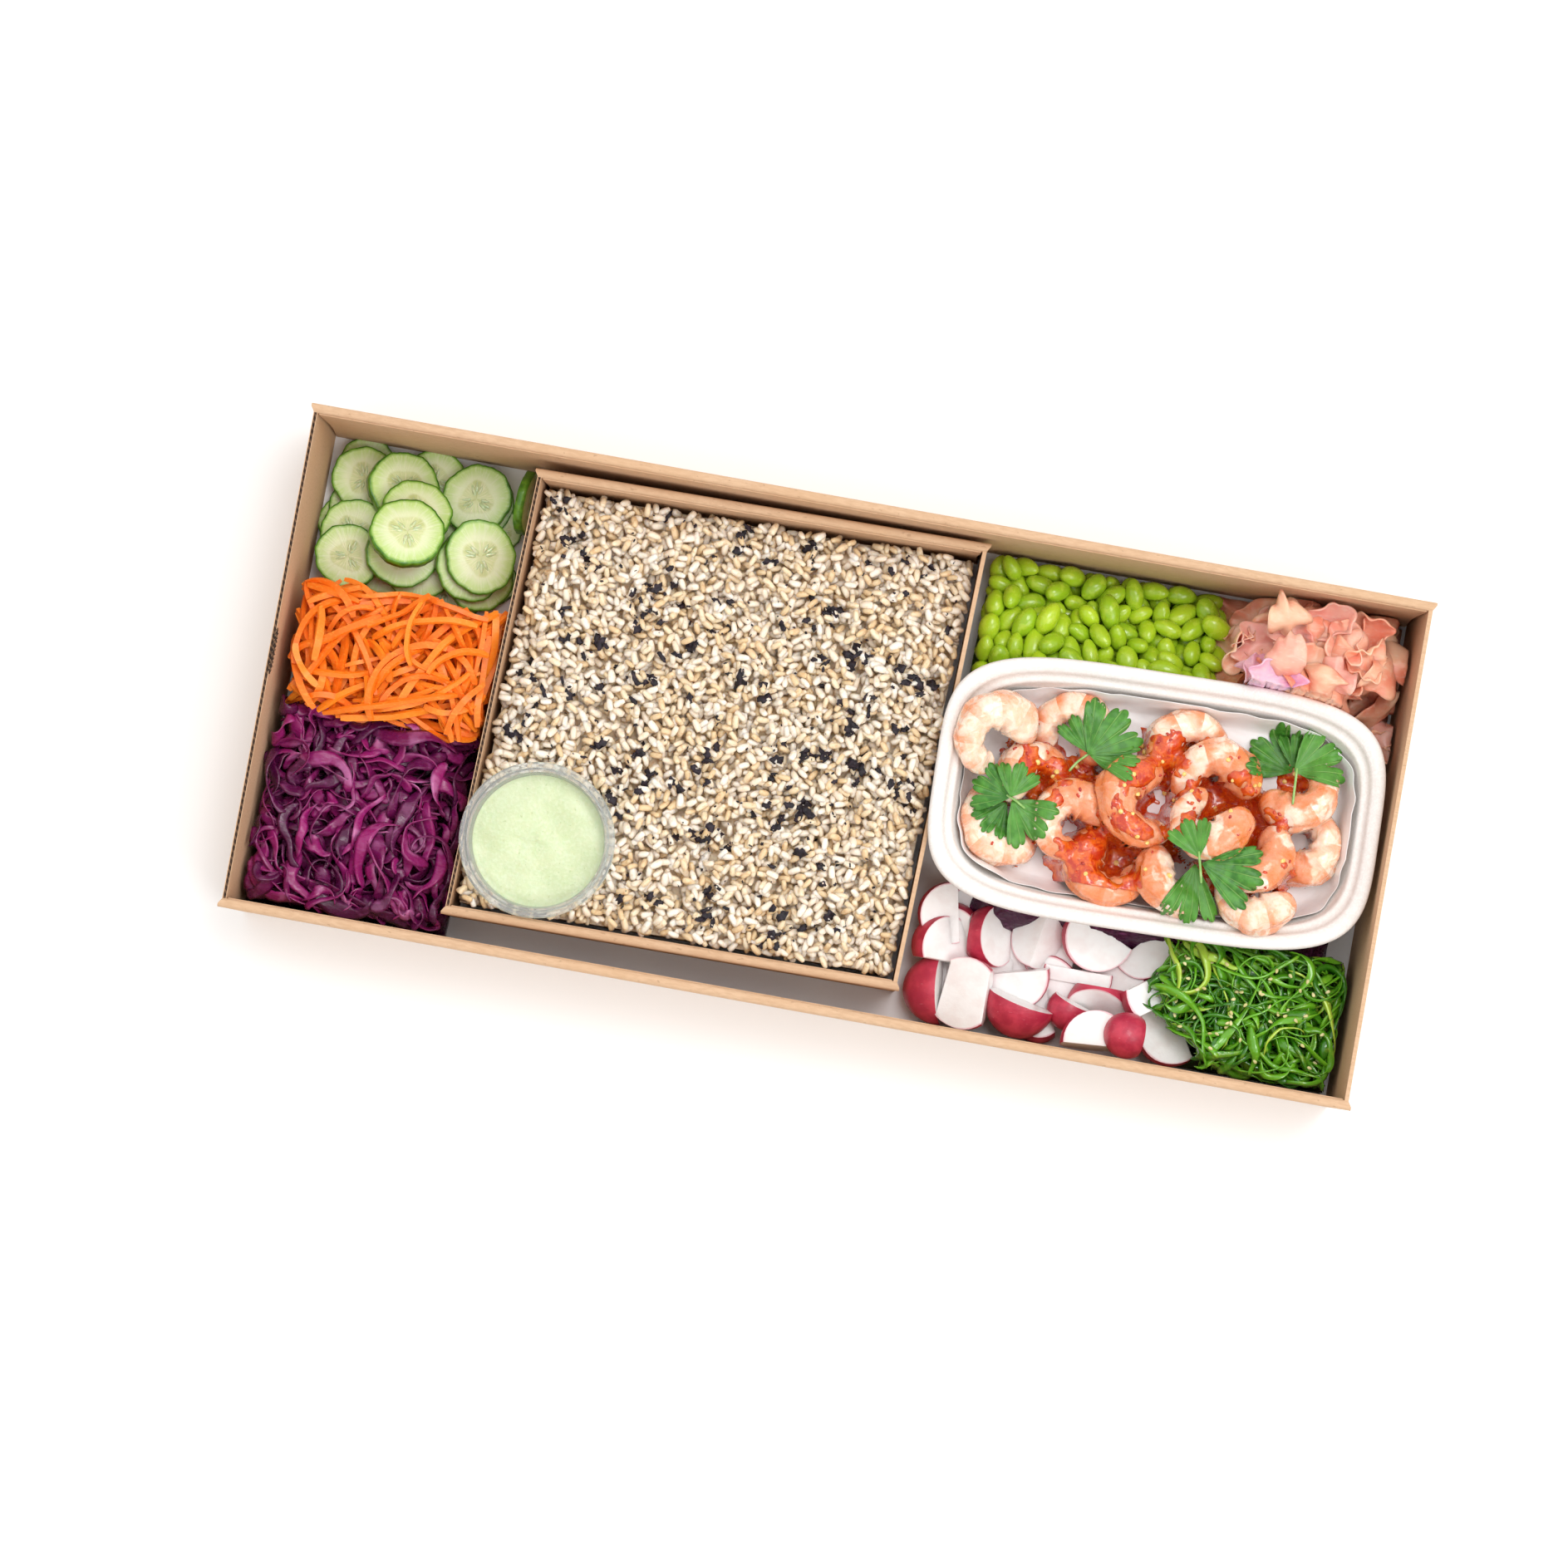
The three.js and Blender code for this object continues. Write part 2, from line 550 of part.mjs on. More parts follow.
const FINISHES = {
  kraft: finish(0xc9a27c, 0.85),
  rice: finish(0xe2d2b4, 0.7),
  clear: new THREE.MeshStandardMaterial({ color: 0xf2f5f4, roughness: 0.12, transparent: true, opacity: 0.35 }),
  dip: finish(0xdfe9b4, 0.35),
  pulp: finish(0xeee8e2, 0.8),
  paper: finish(0xf4f1ee, 0.7),
  prawn: finish(0xf0c3a0, 0.4),
  cucumber: finish(0xc9dca0, 0.4),
  carrot: finish(0xf07a1a, 0.5),
  cabbage: finish(0x7c1f58, 0.45),
  edamame: finish(0x9cc42c, 0.4),
  ginger: finish(0xf2b29a, 0.4),
  radish: finish(0xf3eeec, 0.4),
  seaweed: finish(0x3f8a2a, 0.3),
};

const box = new THREE.Group();

function put(name, geometry, material) {
  geometry.computeVertexNormals();
  const mesh = new THREE.Mesh(geometry, FINISHES[material]);
  mesh.name = name;
  box.add(mesh);
}

const paper = trayPaper();

const leftSide = new Relief([-278, -126], [-150, 126], FLOOR);
[outerBox, innerBox, carrotHeap].forEach((piece) => leftSide.add(bare(piece)));
const rightSide = new Relief([40, -126], [278, 126], FLOOR);
[outerBox, innerBox, cabbageBed].forEach((piece) => rightSide.add(bare(piece)));
const onPaper = new Relief([50, -60], [280, 75], PULP_FLOOR);
[pulpTray, paper].forEach((piece) => onPaper.add(bare(piece)));

const chunks = radishes(rightSide);

// A chunk grown a little about its middle, to cut room for it.
function roomFor(chunk) {
  const grown = chunk.clone();
  grown.computeBoundingBox();
  const middle = grown.boundingBox.getCenter(new THREE.Vector3());
  return grown.translate(-middle.x, -middle.y, -middle.z).scale(1.06, 1.06, 1.08).translate(...middle);
}

put('outer_box', outerBox, 'kraft');
put('inner_box', innerBox, 'kraft');
put('rice', riceBlock(), 'rice');
put('dip_cup', dipCup, 'clear');
put('dip', dipFill(), 'dip');
put('pulp_tray', pulpTray, 'pulp');
put('tray_paper', paper, 'paper');
put('carrot', carrotHeap, 'carrot');
put('cabbage', cabbageHeap, 'cabbage');
put('cabbage_bed', cabbageBed, 'cabbage');
put('edamame', cut(edamameHeap, [pulpKeepOut]), 'edamame');
put('ginger', cut(gingerHeap, [pulpKeepOut]), 'ginger');
put('seaweed', cut(seaweedHeap, [pulpKeepOut, ...chunks.slice(-2).map(roomFor)]), 'seaweed');
cucumber(leftSide).forEach((slice, i) => put(`cucumber_${i + 1}`, slice, 'cucumber'));
chunks.forEach((chunk, i) => put(`radish_${i + 1}`, chunk, 'radish'));
prawns(onPaper).forEach((piece, i) => put(`prawn_${i + 1}`, piece, 'prawn'));

export default box;
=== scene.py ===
"""A catering poke box seen from above: kraft trays, brown rice, prawns on paper and fresh heaps."""
import math
import random

import bmesh
import bpy
import numpy as np
from mathutils import Matrix, Vector, noise
from mathutils.bvhtree import BVHTree


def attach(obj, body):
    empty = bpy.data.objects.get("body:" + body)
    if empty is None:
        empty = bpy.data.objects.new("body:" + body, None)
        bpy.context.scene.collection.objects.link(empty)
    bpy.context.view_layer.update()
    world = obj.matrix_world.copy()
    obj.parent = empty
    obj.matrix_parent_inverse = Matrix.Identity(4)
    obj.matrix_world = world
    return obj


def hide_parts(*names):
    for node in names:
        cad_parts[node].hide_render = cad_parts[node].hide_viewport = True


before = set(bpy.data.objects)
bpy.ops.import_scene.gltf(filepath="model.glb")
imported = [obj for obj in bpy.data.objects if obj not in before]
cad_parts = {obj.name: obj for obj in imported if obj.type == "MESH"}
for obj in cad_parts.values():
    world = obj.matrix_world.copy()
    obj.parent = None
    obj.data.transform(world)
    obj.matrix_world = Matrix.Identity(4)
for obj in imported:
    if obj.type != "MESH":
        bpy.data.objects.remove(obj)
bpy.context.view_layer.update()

MM = 0.001
BODY = "root"


# ---------------------------------------------------------------- modelling by hand


def deselect():
    bpy.ops.object.select_all(action="DESELECT")


def work_on(piece):
    deselect()
    bpy.context.view_layer.objects.active = piece
    piece.select_set(True)


def apply_place(piece):
    work_on(piece)
    bpy.ops.object.transform_apply(location=True, rotation=True, scale=True)
    return piece


def added(name):
    """The primitive that was just added, named and with its place in its mesh."""
    piece = bpy.context.object
    piece.name = name
    piece.data.name = name
    return apply_place(piece)


def block(name, low, high):
    """A square block between two corners."""
    low, high = Vector(low), Vector(high)
    deselect()
    bpy.ops.mesh.primitive_cube_add(size=1, location=(low + high) / 2)
    bpy.context.object.scale = high - low
    return added(name)


def ball(name, segments, rings, radius=1):
    deselect()
    bpy.ops.mesh.primitive_uv_sphere_add(segments=segments, ring_count=rings, radius=radius)
    return added(name)


def sheet_of(name, low, high, across, along):
    """A flat grid between two corners, with that many cells each way."""
    low, high = Vector((*low, 0)), Vector((*high, 0))
    deselect()
    bpy.ops.mesh.primitive_grid_add(
        x_subdivisions=across, y_subdivisions=along, size=1, location=(low + high) / 2
    )
    bpy.context.object.scale = (high.x - low.x, high.y - low.y, 1)
    return added(name)


def edit(piece, step, faces=None, edges=None):
    """Runs one step in edit mode on the faces or edges that a test picks, or on all of them."""
    work_on(piece)
    bpy.ops.object.mode_set(mode="EDIT")
    bpy.ops.mesh.select_all(action="DESELECT" if faces or edges else "SELECT")
    if faces or edges:
        mesh = bmesh.from_edit_mesh(piece.data)
        bpy.context.tool_settings.mesh_select_mode = (False, bool(edges), bool(faces))
        for part in mesh.faces if faces else mesh.edges:
            part.select_set((faces or edges)(part))
        bmesh.update_edit_mesh(piece.data)
    step()
    bpy.ops.object.mode_set(mode="OBJECT")
    return piece


def modify(piece, kind, **settings):
    """Adds a modifier and applies it."""
    work_on(piece)
    modifier = piece.modifiers.new(kind.title(), kind)
    for setting, value in settings.items():
        setattr(modifier, setting, value)
    bpy.ops.object.modifier_apply(modifier=modifier.name)
    return piece


def joined(name, pieces):
    work_on(pieces[0])
    for piece in pieces:
        piece.select_set(True)
    bpy.ops.object.join()
    pieces[0].name = name
    pieces[0].data.name = name
    return pieces[0]


def points_of(piece):
    flat = np.empty(len(piece.data.vertices) * 3)
    piece.data.vertices.foreach_get("co", flat)
    return flat.reshape(-1, 3)


def set_points(piece, points):
    piece.data.vertices.foreach_set("co", np.asarray(points, float).ravel())
    piece.data.update()
    return piece


def face_out(piece):
    return edit(piece, lambda: bpy.ops.mesh.normals_make_consistent(inside=False))


def smooth(piece, degrees=None):
    work_on(piece)
    if degrees is None:
        bpy.ops.object.shade_smooth()
    else:
        bpy.ops.object.shade_smooth_by_angle(angle=math.radians(degrees))
    return piece


def serve(piece, finish, slot, *nodes):
    """Gives a finished piece its material, and puts it in the box in place of its plain solids."""
    if finish:
        piece.data.materials.clear()
        piece.data.materials.append(finish)
    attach(piece, BODY)
    if nodes:
        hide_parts(*nodes)
    return piece


class Shape:
    """The mesh of a modelled piece, taken up so that it can be copied many times."""

    def __init__(self, piece):
        mesh = piece.data
        self.points = points_of(piece)
        self.corners = np.array([loop.vertex_index for loop in mesh.loops])
        self.counts = np.array([len(face.vertices) for face in mesh.polygons])
        self.finishes = np.array([face.material_index for face in mesh.polygons])
        bpy.data.objects.remove(piece)


def copies(name, items):
    """One mesh of many copies, from (shape, its points where they lie, tone, places on it)."""
    points = np.concatenate([item[1] for item in items])
    starts = np.cumsum([0] + [len(item[1]) for item in items[:-1]])
    corners = np.concatenate([item[0].corners + start for item, start in zip(items, starts)])
    counts = np.concatenate([item[0].counts for item in items])
    finishes = np.concatenate([item[0].finishes for item in items])
    mesh = bpy.data.meshes.new(name)
    mesh.vertices.add(len(points))
    mesh.vertices.foreach_set("co", points.ravel())
    mesh.loops.add(len(corners))
    mesh.loops.foreach_set("vertex_index", corners)
    mesh.polygons.add(len(counts))
    mesh.polygons.foreach_set("loop_start", np.concatenate([[0], np.cumsum(counts)[:-1]]))
    mesh.polygons.foreach_set("material_index", finishes)
    mesh.polygons.foreach_set("use_smooth", np.ones(len(counts), bool))
    mesh.update(calc_edges=True)
    tones = np.concatenate([np.full(len(item[1]), item[2]) for item in items])
    mesh.attributes.new("tone", "FLOAT", "POINT").data.foreach_set("value", tones)
    if len(items[0]) > 3:
        spots = np.concatenate([item[3] for item in items])
        mesh.attributes.new("spot", "FLOAT_VECTOR", "POINT").data.foreach_set("vector", spots.ravel())
    piece = bpy.data.objects.new(name, mesh)
    bpy.context.collection.objects.link(piece)
    return piece


def eased(t):
    t = np.clip(t, 0, 1)
    return t * t * (3 - 2 * t)


def mixed(a, b, t):
    return a + (b - a) * t


def wobble(x, y, pitch, seed):
    """A smooth unevenness between about -1 and 1 over arrays of places."""
    total = 0
    for n in range(5):
        way = seed + 2.4 * n
        run = (x * math.cos(way) + y * math.sin(way)) / pitch
        total = total + np.sin(run * (1 + 0.37 * n) + 1.7 * seed + n)
    return total / 2.8


# ---------------------------------------------------------------- finishes as expressions


class Wire:
    """A value in a material that ordinary sums can be written with."""

    def __init__(self, finish, socket):
        self.finish = finish
        self.socket = socket

    def sum(self, operation, *values):
        return self.finish.node("Math", {"operation": operation}, dict(enumerate(values)))

    def __add__(self, other):
        return self.sum("ADD", self, other)

    def __sub__(self, other):
        return self.sum("SUBTRACT", self, other)

    def __mul__(self, other):
        return self.sum("MULTIPLY", self, other)

    def __truediv__(self, other):
        return self.sum("DIVIDE", self, other)

    def __pow__(self, other):
        return self.sum("POWER", self, other)

    def __radd__(self, other):
        return self.sum("ADD", other, self)

    def __rsub__(self, other):
        return self.sum("SUBTRACT", other, self)

    def __rmul__(self, other):
        return self.sum("MULTIPLY", other, self)

    def above(self, low, high):
        """0 below low and 1 above high, with a smooth step between."""
        settings = {"interpolation_type": "SMOOTHSTEP"}
        return self.finish.node("MapRange", settings, {0: self, 1: low, 2: high})

    def below(self, low, high):
        return 1 - self.above(low, high)


class Finish:
    """A material in the making."""

    def __init__(self, name, **constants):
        self.material = bpy.data.materials.new(name)
        self.material.use_nodes = True
        self.tree = self.material.node_tree
        self.shader = self.tree.nodes["Principled BSDF"]
        for socket, value in constants.items():
            self.shader.inputs[socket.replace("_", " ")].default_value = value

    def node(self, kind, settings, values, output=0):
        made = self.tree.nodes.new("ShaderNode" + kind)
        for setting, value in settings.items():
            if setting == "stops":
                self.set_stops(made.color_ramp, value)
            else:
                setattr(made, setting, value)
        for socket, value in values.items():
            self.feed(made.inputs[socket], value)
        return Wire(self, made.outputs[output])

    def feed(self, socket, value):
        if isinstance(value, Wire):
            self.tree.links.new(value.socket, socket)
        elif value is not None:
            socket.default_value = value

    @staticmethod
    def set_stops(ramp, stops):
        while len(ramp.elements) < len(stops):
            ramp.elements.new(0.5)
        for element, (place, colour) in zip(ramp.elements, stops):
            element.position = place
            element.color = colour

    def place(self):
        return self.node("TexCoord", {}, {}, "Object")

    def stretched(self, scale, turn=0, vector=None):
        """The place on the piece, turned about Z and stretched, for a pattern with a run."""
        values = {"Vector": vector or self.place(), "Rotation": (0, 0, turn), "Scale": scale}
        return self.node("Mapping", {}, values)

    def attribute(self, name, output="Fac"):
        return self.node("Attribute", {"attribute_name": name}, {}, output)

    def apart(self, vector):
        return [self.node("SeparateXYZ", {}, {0: vector}, axis) for axis in range(3)]

    def clouds(self, size, detail=2, vector=None, distortion=0):
        """Soft noise from 0 to 1, whose patches are about that many metres across."""
        values = {"Vector": vector or self.place(), "Scale": 1 / size, "Detail": detail}
        values["Distortion"] = distortion
        return self.node("TexNoise", {}, values)

    def cells(self, size, vector=None, feature="F1", output="Distance"):
        values = {"Vector": vector or self.place(), "Scale": 1 / size}
        return self.node("TexVoronoi", {"feature": feature}, values, output)

    def blend(self, amount, first, second):
        values = {0: amount, 6: colour(first), 7: colour(second)}
        return self.node("Mix", {"data_type": "RGBA"}, values, 2)

    def ramp(self, amount, stops):
        settled = [(place, colour(shade)) for place, shade in stops]
        return self.node("ValToRGB", {"stops": settled}, {0: amount})

    def relief(self, height, depth, strength=1.0):
        """Makes the surface rise and fall with a height from 0 to 1, that many metres deep."""
        values = {"Strength": strength, "Distance": depth, "Height": height}
        self.feed(self.shader.inputs["Normal"], self.node("Bump", {}, values))

    def wear(self, base, roughness=None, alpha=None, coat=None):
        for socket, value in (("Base Color", base), ("Roughness", roughness), ("Alpha", alpha)):
            self.feed(self.shader.inputs[socket], value)
        self.feed(self.shader.inputs["Coat Weight"], coat)
        return self.material


def colour(value):
    """A colour as four linear numbers, from a web colour or a wire."""
    if not isinstance(value, str):
        return value
    parts = [int(value[i : i + 2], 16) / 255 for i in (0, 2, 4)]
    return (*[part / 12.92 if part < 0.04 else ((part + 0.055) / 1.055) ** 2.4 for part in parts], 1)


# ---------------------------------------------------------------- camera, floor and light

CAMERA_PLACE = Vector((21.4, -132.2, 2080.9)) * MM
CAMERA_TURN = [math.radians(angle) for angle in (3.4134, 0.546, 10.2248)]
LENS = 94.176
FLOOR_SIZE = 8
SKY = 0.98
LAMPS = [  # place, size across, watts
    ((0.5, 0.7, 2.6), 1.1, 27),
    ((1.5, -0.7, 2.1), 1.2, 15),
]


def set_camera():
    data = bpy.data.cameras.new("camera")
    data.lens = LENS
    data.sensor_width = 36
    camera = bpy.data.objects.new("camera", data)
    camera.location = CAMERA_PLACE
    camera.rotation_euler = CAMERA_TURN
    bpy.context.collection.objects.link(camera)
    bpy.context.scene.camera = camera


def set_light():
    world = bpy.data.worlds.new("studio")
    bpy.context.scene.world = world
    world.use_nodes = True
    world.node_tree.nodes["Background"].inputs["Color"].default_value = (1, 1, 1, 1)
    world.node_tree.nodes["Background"].inputs["Strength"].default_value = SKY
    for place, across, watts in LAMPS:
        data = bpy.data.lights.new("softbox", "AREA")
        data.size = across
        data.energy = watts
        lamp = bpy.data.objects.new("softbox", data)
        lamp.location = place
        lamp.rotation_euler = Vector(place).to_track_quat("Z", "Y").to_euler()
        bpy.context.collection.objects.link(lamp)
    bpy.context.scene.view_settings.view_transform = "Standard"


def lay_floor():
    floor = sheet_of("floor", (-FLOOR_SIZE / 2,) * 2, (FLOOR_SIZE / 2,) * 2, 4, 4)
    finish = Finish("white table", Roughness=0.9)
    shade = finish.blend(finish.clouds(0.4), "f4f3f2", "f8f7f6")
    floor.data.materials.append(finish.wear(shade))


# ---------------------------------------------------------------- kraft board trays

BOARD = 2 * MM
LONG_TRAY = {"length": 558, "width": 252, "height": 80, "roll": 4.8, "foot": 0}
SQUARE_TRAY = {"length": 226, "width": 226, "height": 60, "roll": 4.6, "foot": 2.5}
SQUARE_PLACE = Matrix(
    (
        (0.99994, 0.0391 - 0.0106, 0, -56.6 * MM),
        (0.0106, 0.99994, 0, 4.3 * MM),
        (0, 0, 1, 0),
        (0, 0, 0, 1),
    )
)


def kraft_finish():
    finish = Finish("kraft board", Roughness=0.82, Specular_IOR_Level=0.25)
    fibres = finish.clouds(0.0011, 5, finish.stretched((0.25, 1, 1)))
    patches = finish.clouds(0.035, 3)
    flecks = finish.clouds(0.0016, 1, finish.stretched((0.5, 1, 1), 0.3)).above(0.68, 0.76)
    flutes = finish.node(
        "TexWave", {"bands_direction": "X"}, {"Vector": finish.place(), "Scale": 50, "Distortion": 0.6}
    )
    shade = finish.blend(fibres.above(0.3, 0.7), "c7a382", "d3b08f")
    shade = finish.blend(patches.above(0.35, 0.75) * 0.4, shade, "caa27c")
    shade = finish.blend(flecks * 0.35, shade, "8d6a4e")
    finish.relief(fibres * 0.5 + flutes * 0.25 + patches * 0.5, 0.0004, 0.5)
    return finish.wear(shade, 0.74 + 0.16 * fibres)


def raw_edge_finish():
    """The cut edge of corrugated board: two pale liners with the flutes between them, their open hollows
    painted dark as shade.
    """
    finish = Finish("raw board edge", Roughness=0.95)
    x, y, _ = finish.apart(finish.place())
    waves = finish.node("Math", {"operation": "SINE"}, {0: (x + y) * 1900})
    dark = finish.clouds(0.0012, 3).above(0.3, 0.6)
    # the darker stripes are painted shade in the open flute hollows; the paler ones are the board's own
    # brown
    shade = finish.blend(waves.above(-0.2, 0.7), "2b1b12", "7a5a41")
    shade = finish.blend(dark * 0.5, shade, "4a3324")
    finish.relief(waves * 0.5 + 0.5, 0.0008)
    return finish.wear(shade)


def white_liner_finish():
    finish = Finish("white liner", Roughness=0.6)
    fibres = finish.clouds(0.002, 5)
    patches = finish.clouds(0.06, 2)
    finish.relief(fibres, 0.0002, 0.4)
    return finish.wear(finish.blend(patches.above(0.3, 0.7), "e9e6e6", "f1efee"), 0.5 + 0.2 * fibres)


def rolled_wall(side, length, width, height, roll, foot):
    """A long side: an outer skin, an inner panel that stops short of the ends, and a round crown."""
    skin, gap, tip, bow = 1.3 * MM, 0.7 * MM, 1.6 * MM, 1.6 * MM
    back = width / 2
    face = back - roll
    outer = block(
        "skin", (-length / 2, side * back, foot), (length / 2, side * (back - skin), height - roll)
    )
    reach = length / 2 - BOARD - gap
    panel_low = (-reach, side * (face - 0.4 * MM), foot + 0.3 * MM)
    panel_high = (reach, side * (back - skin / 2), height - roll / 2)  # its back ends inside the skin
    panel = block("panel", panel_low, panel_high)
    panel_cuts = lambda: bpy.ops.mesh.subdivide(number_cuts=10)
    edit(panel, panel_cuts, edges=lambda edge: abs(edge.verts[0].co.z - edge.verts[1].co.z) > roll)
    points = points_of(panel)
    level = (points[:, 2] - foot) / (height - foot)
    points[:, 0] -= np.sign(points[:, 0]) * bow * np.sin(math.pi * level) ** 2
    set_points(panel, points)
    crown = block(
        "crown",
        (-length / 2 - tip, side * (face + 0.1 * MM), height - roll),
        (length / 2 + tip, side * back, height),
    )
    roll_over = lambda: bpy.ops.mesh.bevel(offset=roll * 0.42, segments=6, affect="EDGES")
    edit(crown, roll_over, edges=lambda edge: all(v.co.z > height - 0.1 * MM for v in edge.verts)
         and abs(edge.verts[0].co.x - edge.verts[1].co.x) > roll)
    for end in (1, -1):
        slant = Vector((end, -0.62 * side, 0)).normalized()
        corner = Vector((end * (length / 2 - 0.4 * MM), side * face, 0))
        trim = lambda: bpy.ops.mesh.bisect(
            plane_co=corner, plane_no=slant, use_fill=True, clear_outer=True
        )
        edit(crown, trim)
    return [outer, panel, crown]


def end_board(side, length, width, height, foot):
    """A short side: one board, whose top shows its raw flutes."""
    edge = side * length / 2
    skin = 1.2 * MM
    board = block(
        "end", (edge, -width / 2 + skin, foot), (edge - side * BOARD, width / 2 - skin, height - 1 * MM)
    )
    lip = lambda: bpy.ops.mesh.inset(thickness=0.35 * MM, depth=-0.25 * MM)
    edit(board, lip, faces=lambda face: face.normal.z > 0.9)
    return board


def set_edge_faces(piece, test):
    """Gives the second material to the faces that a test picks."""
    for face in piece.data.polygons:
        face.material_index = int(test(face))


def torn_slot(finish):
    """A torn perforation along the top of the left end board: a thin strip in the dark raw-edge finish,
    painted shade for the open slit, with ragged lips.
    """
    strip = sheet_of("torn_slot", (-0.7, -11.5), (0.7, 11.5), 4, 60)
    x, y = points_of(strip)[:, 0], points_of(strip)[:, 1]
    ragged = 1 + 0.35 * np.sin(3.1 * y) + 0.3 * np.sin(7.3 * y + 1)
    ends = np.sqrt(np.maximum(1 - (y / 11.6) ** 4, 0))
    lips = 0.25 * (np.abs(x) > 0.5) * np.abs(np.sin(5.7 * y))
    place = np.stack([x * ragged * ends - 276.6, y + 2, 79.05 + lips], 1)
    set_points(strip, place * MM)
    modify(strip, "SOLIDIFY", thickness=0.3 * MM, offset=0)
    # the strip's dark colour is painted shade standing in for the open slit in the board
    return serve(smooth(strip), finish, "kraft")


def board_tray(name, size, place, node, finishes):
    keys = ("length", "width", "height", "roll", "foot")
    length, width, height, roll, foot = [size[key] * MM for key in keys]
    parts = []
    for side in (1, -1):
        parts += rolled_wall(side, length, width, height, roll, foot)
        board = end_board(side, length, width, height, foot)
        set_edge_faces(board, lambda face: face.normal.z > 0.9 and face.center.z > height - 2 * MM)
        parts.append(board)
    half_long, half_wide = length / 2 - BOARD, width / 2 - 2 * MM
    floor = block("floor", (-half_long, -half_wide, foot), (half_long, half_wide, foot + BOARD))
    for face in floor.data.polygons:
        face.material_index = 2 if face.normal.z > 0.9 else 0
    for part in [*parts, floor]:
        for finish in finishes:
            part.data.materials.append(finish)
    tray = joined(name, [*parts, floor])
    tray.data.transform(place)
    face_out(tray)
    smooth(tray, 40)
    return serve(tray, None, "kraft", node)


# ---------------------------------------------------------------- moulded pulp tray and paper

PULP = {"x": 163.4, "y": 6, "turn": 0.025, "halfLength": 110.4, "halfWidth": 64.5, "squareness": 4.2}


def squared_turn(name, profile, around, lift=None, closed=True):
    """A profile of (inset from the rim, height) in mm, carried round the squared outline."""
    power = 2 / PULP["squareness"]
    angles = np.linspace(0, 2 * math.pi, around, endpoint=False)
    across = np.sign(np.cos(angles)) * np.abs(np.cos(angles)) ** power
    along = np.sign(np.sin(angles)) * np.abs(np.sin(angles)) ** power
    rows = []
    for row, (inset, height) in enumerate(profile):
        x = (PULP["halfLength"] - inset) * across
        y = (PULP["halfWidth"] - inset) * along
        z = np.full(around, float(height)) + (lift(angles, row) if lift else 0)
        rows.append(np.stack([x, y, z], 1))
    points = np.concatenate(rows)
    faces = []
    for row in range(len(profile) - 1):
        for i in range(around):
            j = (i + 1) % around
            a, b = row * around, (row + 1) * around
            faces.append((a + i, a + j, b + j, b + i))
    if closed:
        faces.append(tuple(range(around - 1, -1, -1)))
        faces.append(tuple(range((len(profile) - 1) * around, len(profile) * around)))
    c, s = math.cos(PULP["turn"]), math.sin(PULP["turn"])
    x, y = points[:, 0].copy(), points[:, 1].copy()
    points[:, 0] = PULP["x"] + c * x - s * y
    points[:, 1] = PULP["y"] + s * x + c * y
    mesh = bpy.data.meshes.new(name)
    mesh.from_pydata((points * MM).tolist(), [], faces)
    mesh.update()
    piece = bpy.data.objects.new(name, mesh)
    bpy.context.collection.objects.link(piece)
    return piece


def rounded(profile, times=2):
    """Cuts the corners of an open profile a few times over, which rounds them."""
    for _ in range(times):
        finer = [profile[0]]
        for (ax, ay), (bx, by) in zip(profile, profile[1:]):
            finer.append((0.75 * ax + 0.25 * bx, 0.75 * ay + 0.25 * by))
            finer.append((0.25 * ax + 0.75 * bx, 0.25 * ay + 0.75 * by))
        finer.append(profile[-1])
        profile = finer
    return profile


def pulp_finish():
    finish = Finish("moulded pulp", Roughness=0.85, Specular_IOR_Level=0.2)
    fibres = finish.clouds(0.0022, 6, distortion=1.5)
    mesh = finish.cells(0.0016)
    patches = finish.clouds(0.03, 2)
    shade = finish.blend(fibres.above(0.3, 0.75), "e3ddd8", "eeeae6")
    shade = finish.blend(patches.above(0.4, 0.8) * 0.25, shade, "e6dacf")
    finish.relief(fibres + mesh * 0.2, 0.0003, 0.4)
    return finish.wear(shade)


def pulp_tray():
    outside = rounded(
        [(17, 36), (14.8, 36.2), (14, 38), (8.4, 58.2), (7.4, 60.6), (5, 61), (1.4, 60.4), (0.2, 60.6)]
    )
    rim = rounded([(0, 61.2), (-0.2, 63.6), (0.6, 65.6), (2.6, 66.3), (4.6, 66), (6.2, 64.9)])
    step = rounded([(7, 63.6), (7.7, 61.4), (8.8, 60.1), (10.6, 59.6), (11.4, 58.4), (12.2, 54)])
    well = rounded([(16, 41.4), (17.4, 38.6), (20.4, 38)])
    tray = squared_turn("pulp_tray_shell", [*outside, *rim, *step, *well], 160)
    face_out(tray)
    return serve(smooth(tray, 60), pulp_finish(), "pulp", "pulp_tray")


def paper_finish():
    finish = Finish("greaseproof paper", Roughness=0.42, Transmission_Weight=0.0, Subsurface_Weight=0.1)
    creases = finish.clouds(0.03, 1, finish.stretched((1, 1.8, 1), 0.5), 0.8)
    fibres = finish.clouds(0.004, 5)
    damp = finish.clouds(0.028, 3)
    shade = finish.blend(damp.above(0.52, 0.68) * 0.4, "f8f6f5", "e9dfd9")
    finish.relief(creases + fibres * 0.12, 0.003, 0.6)
    return finish.wear(shade, 0.35 + 0.3 * fibres)


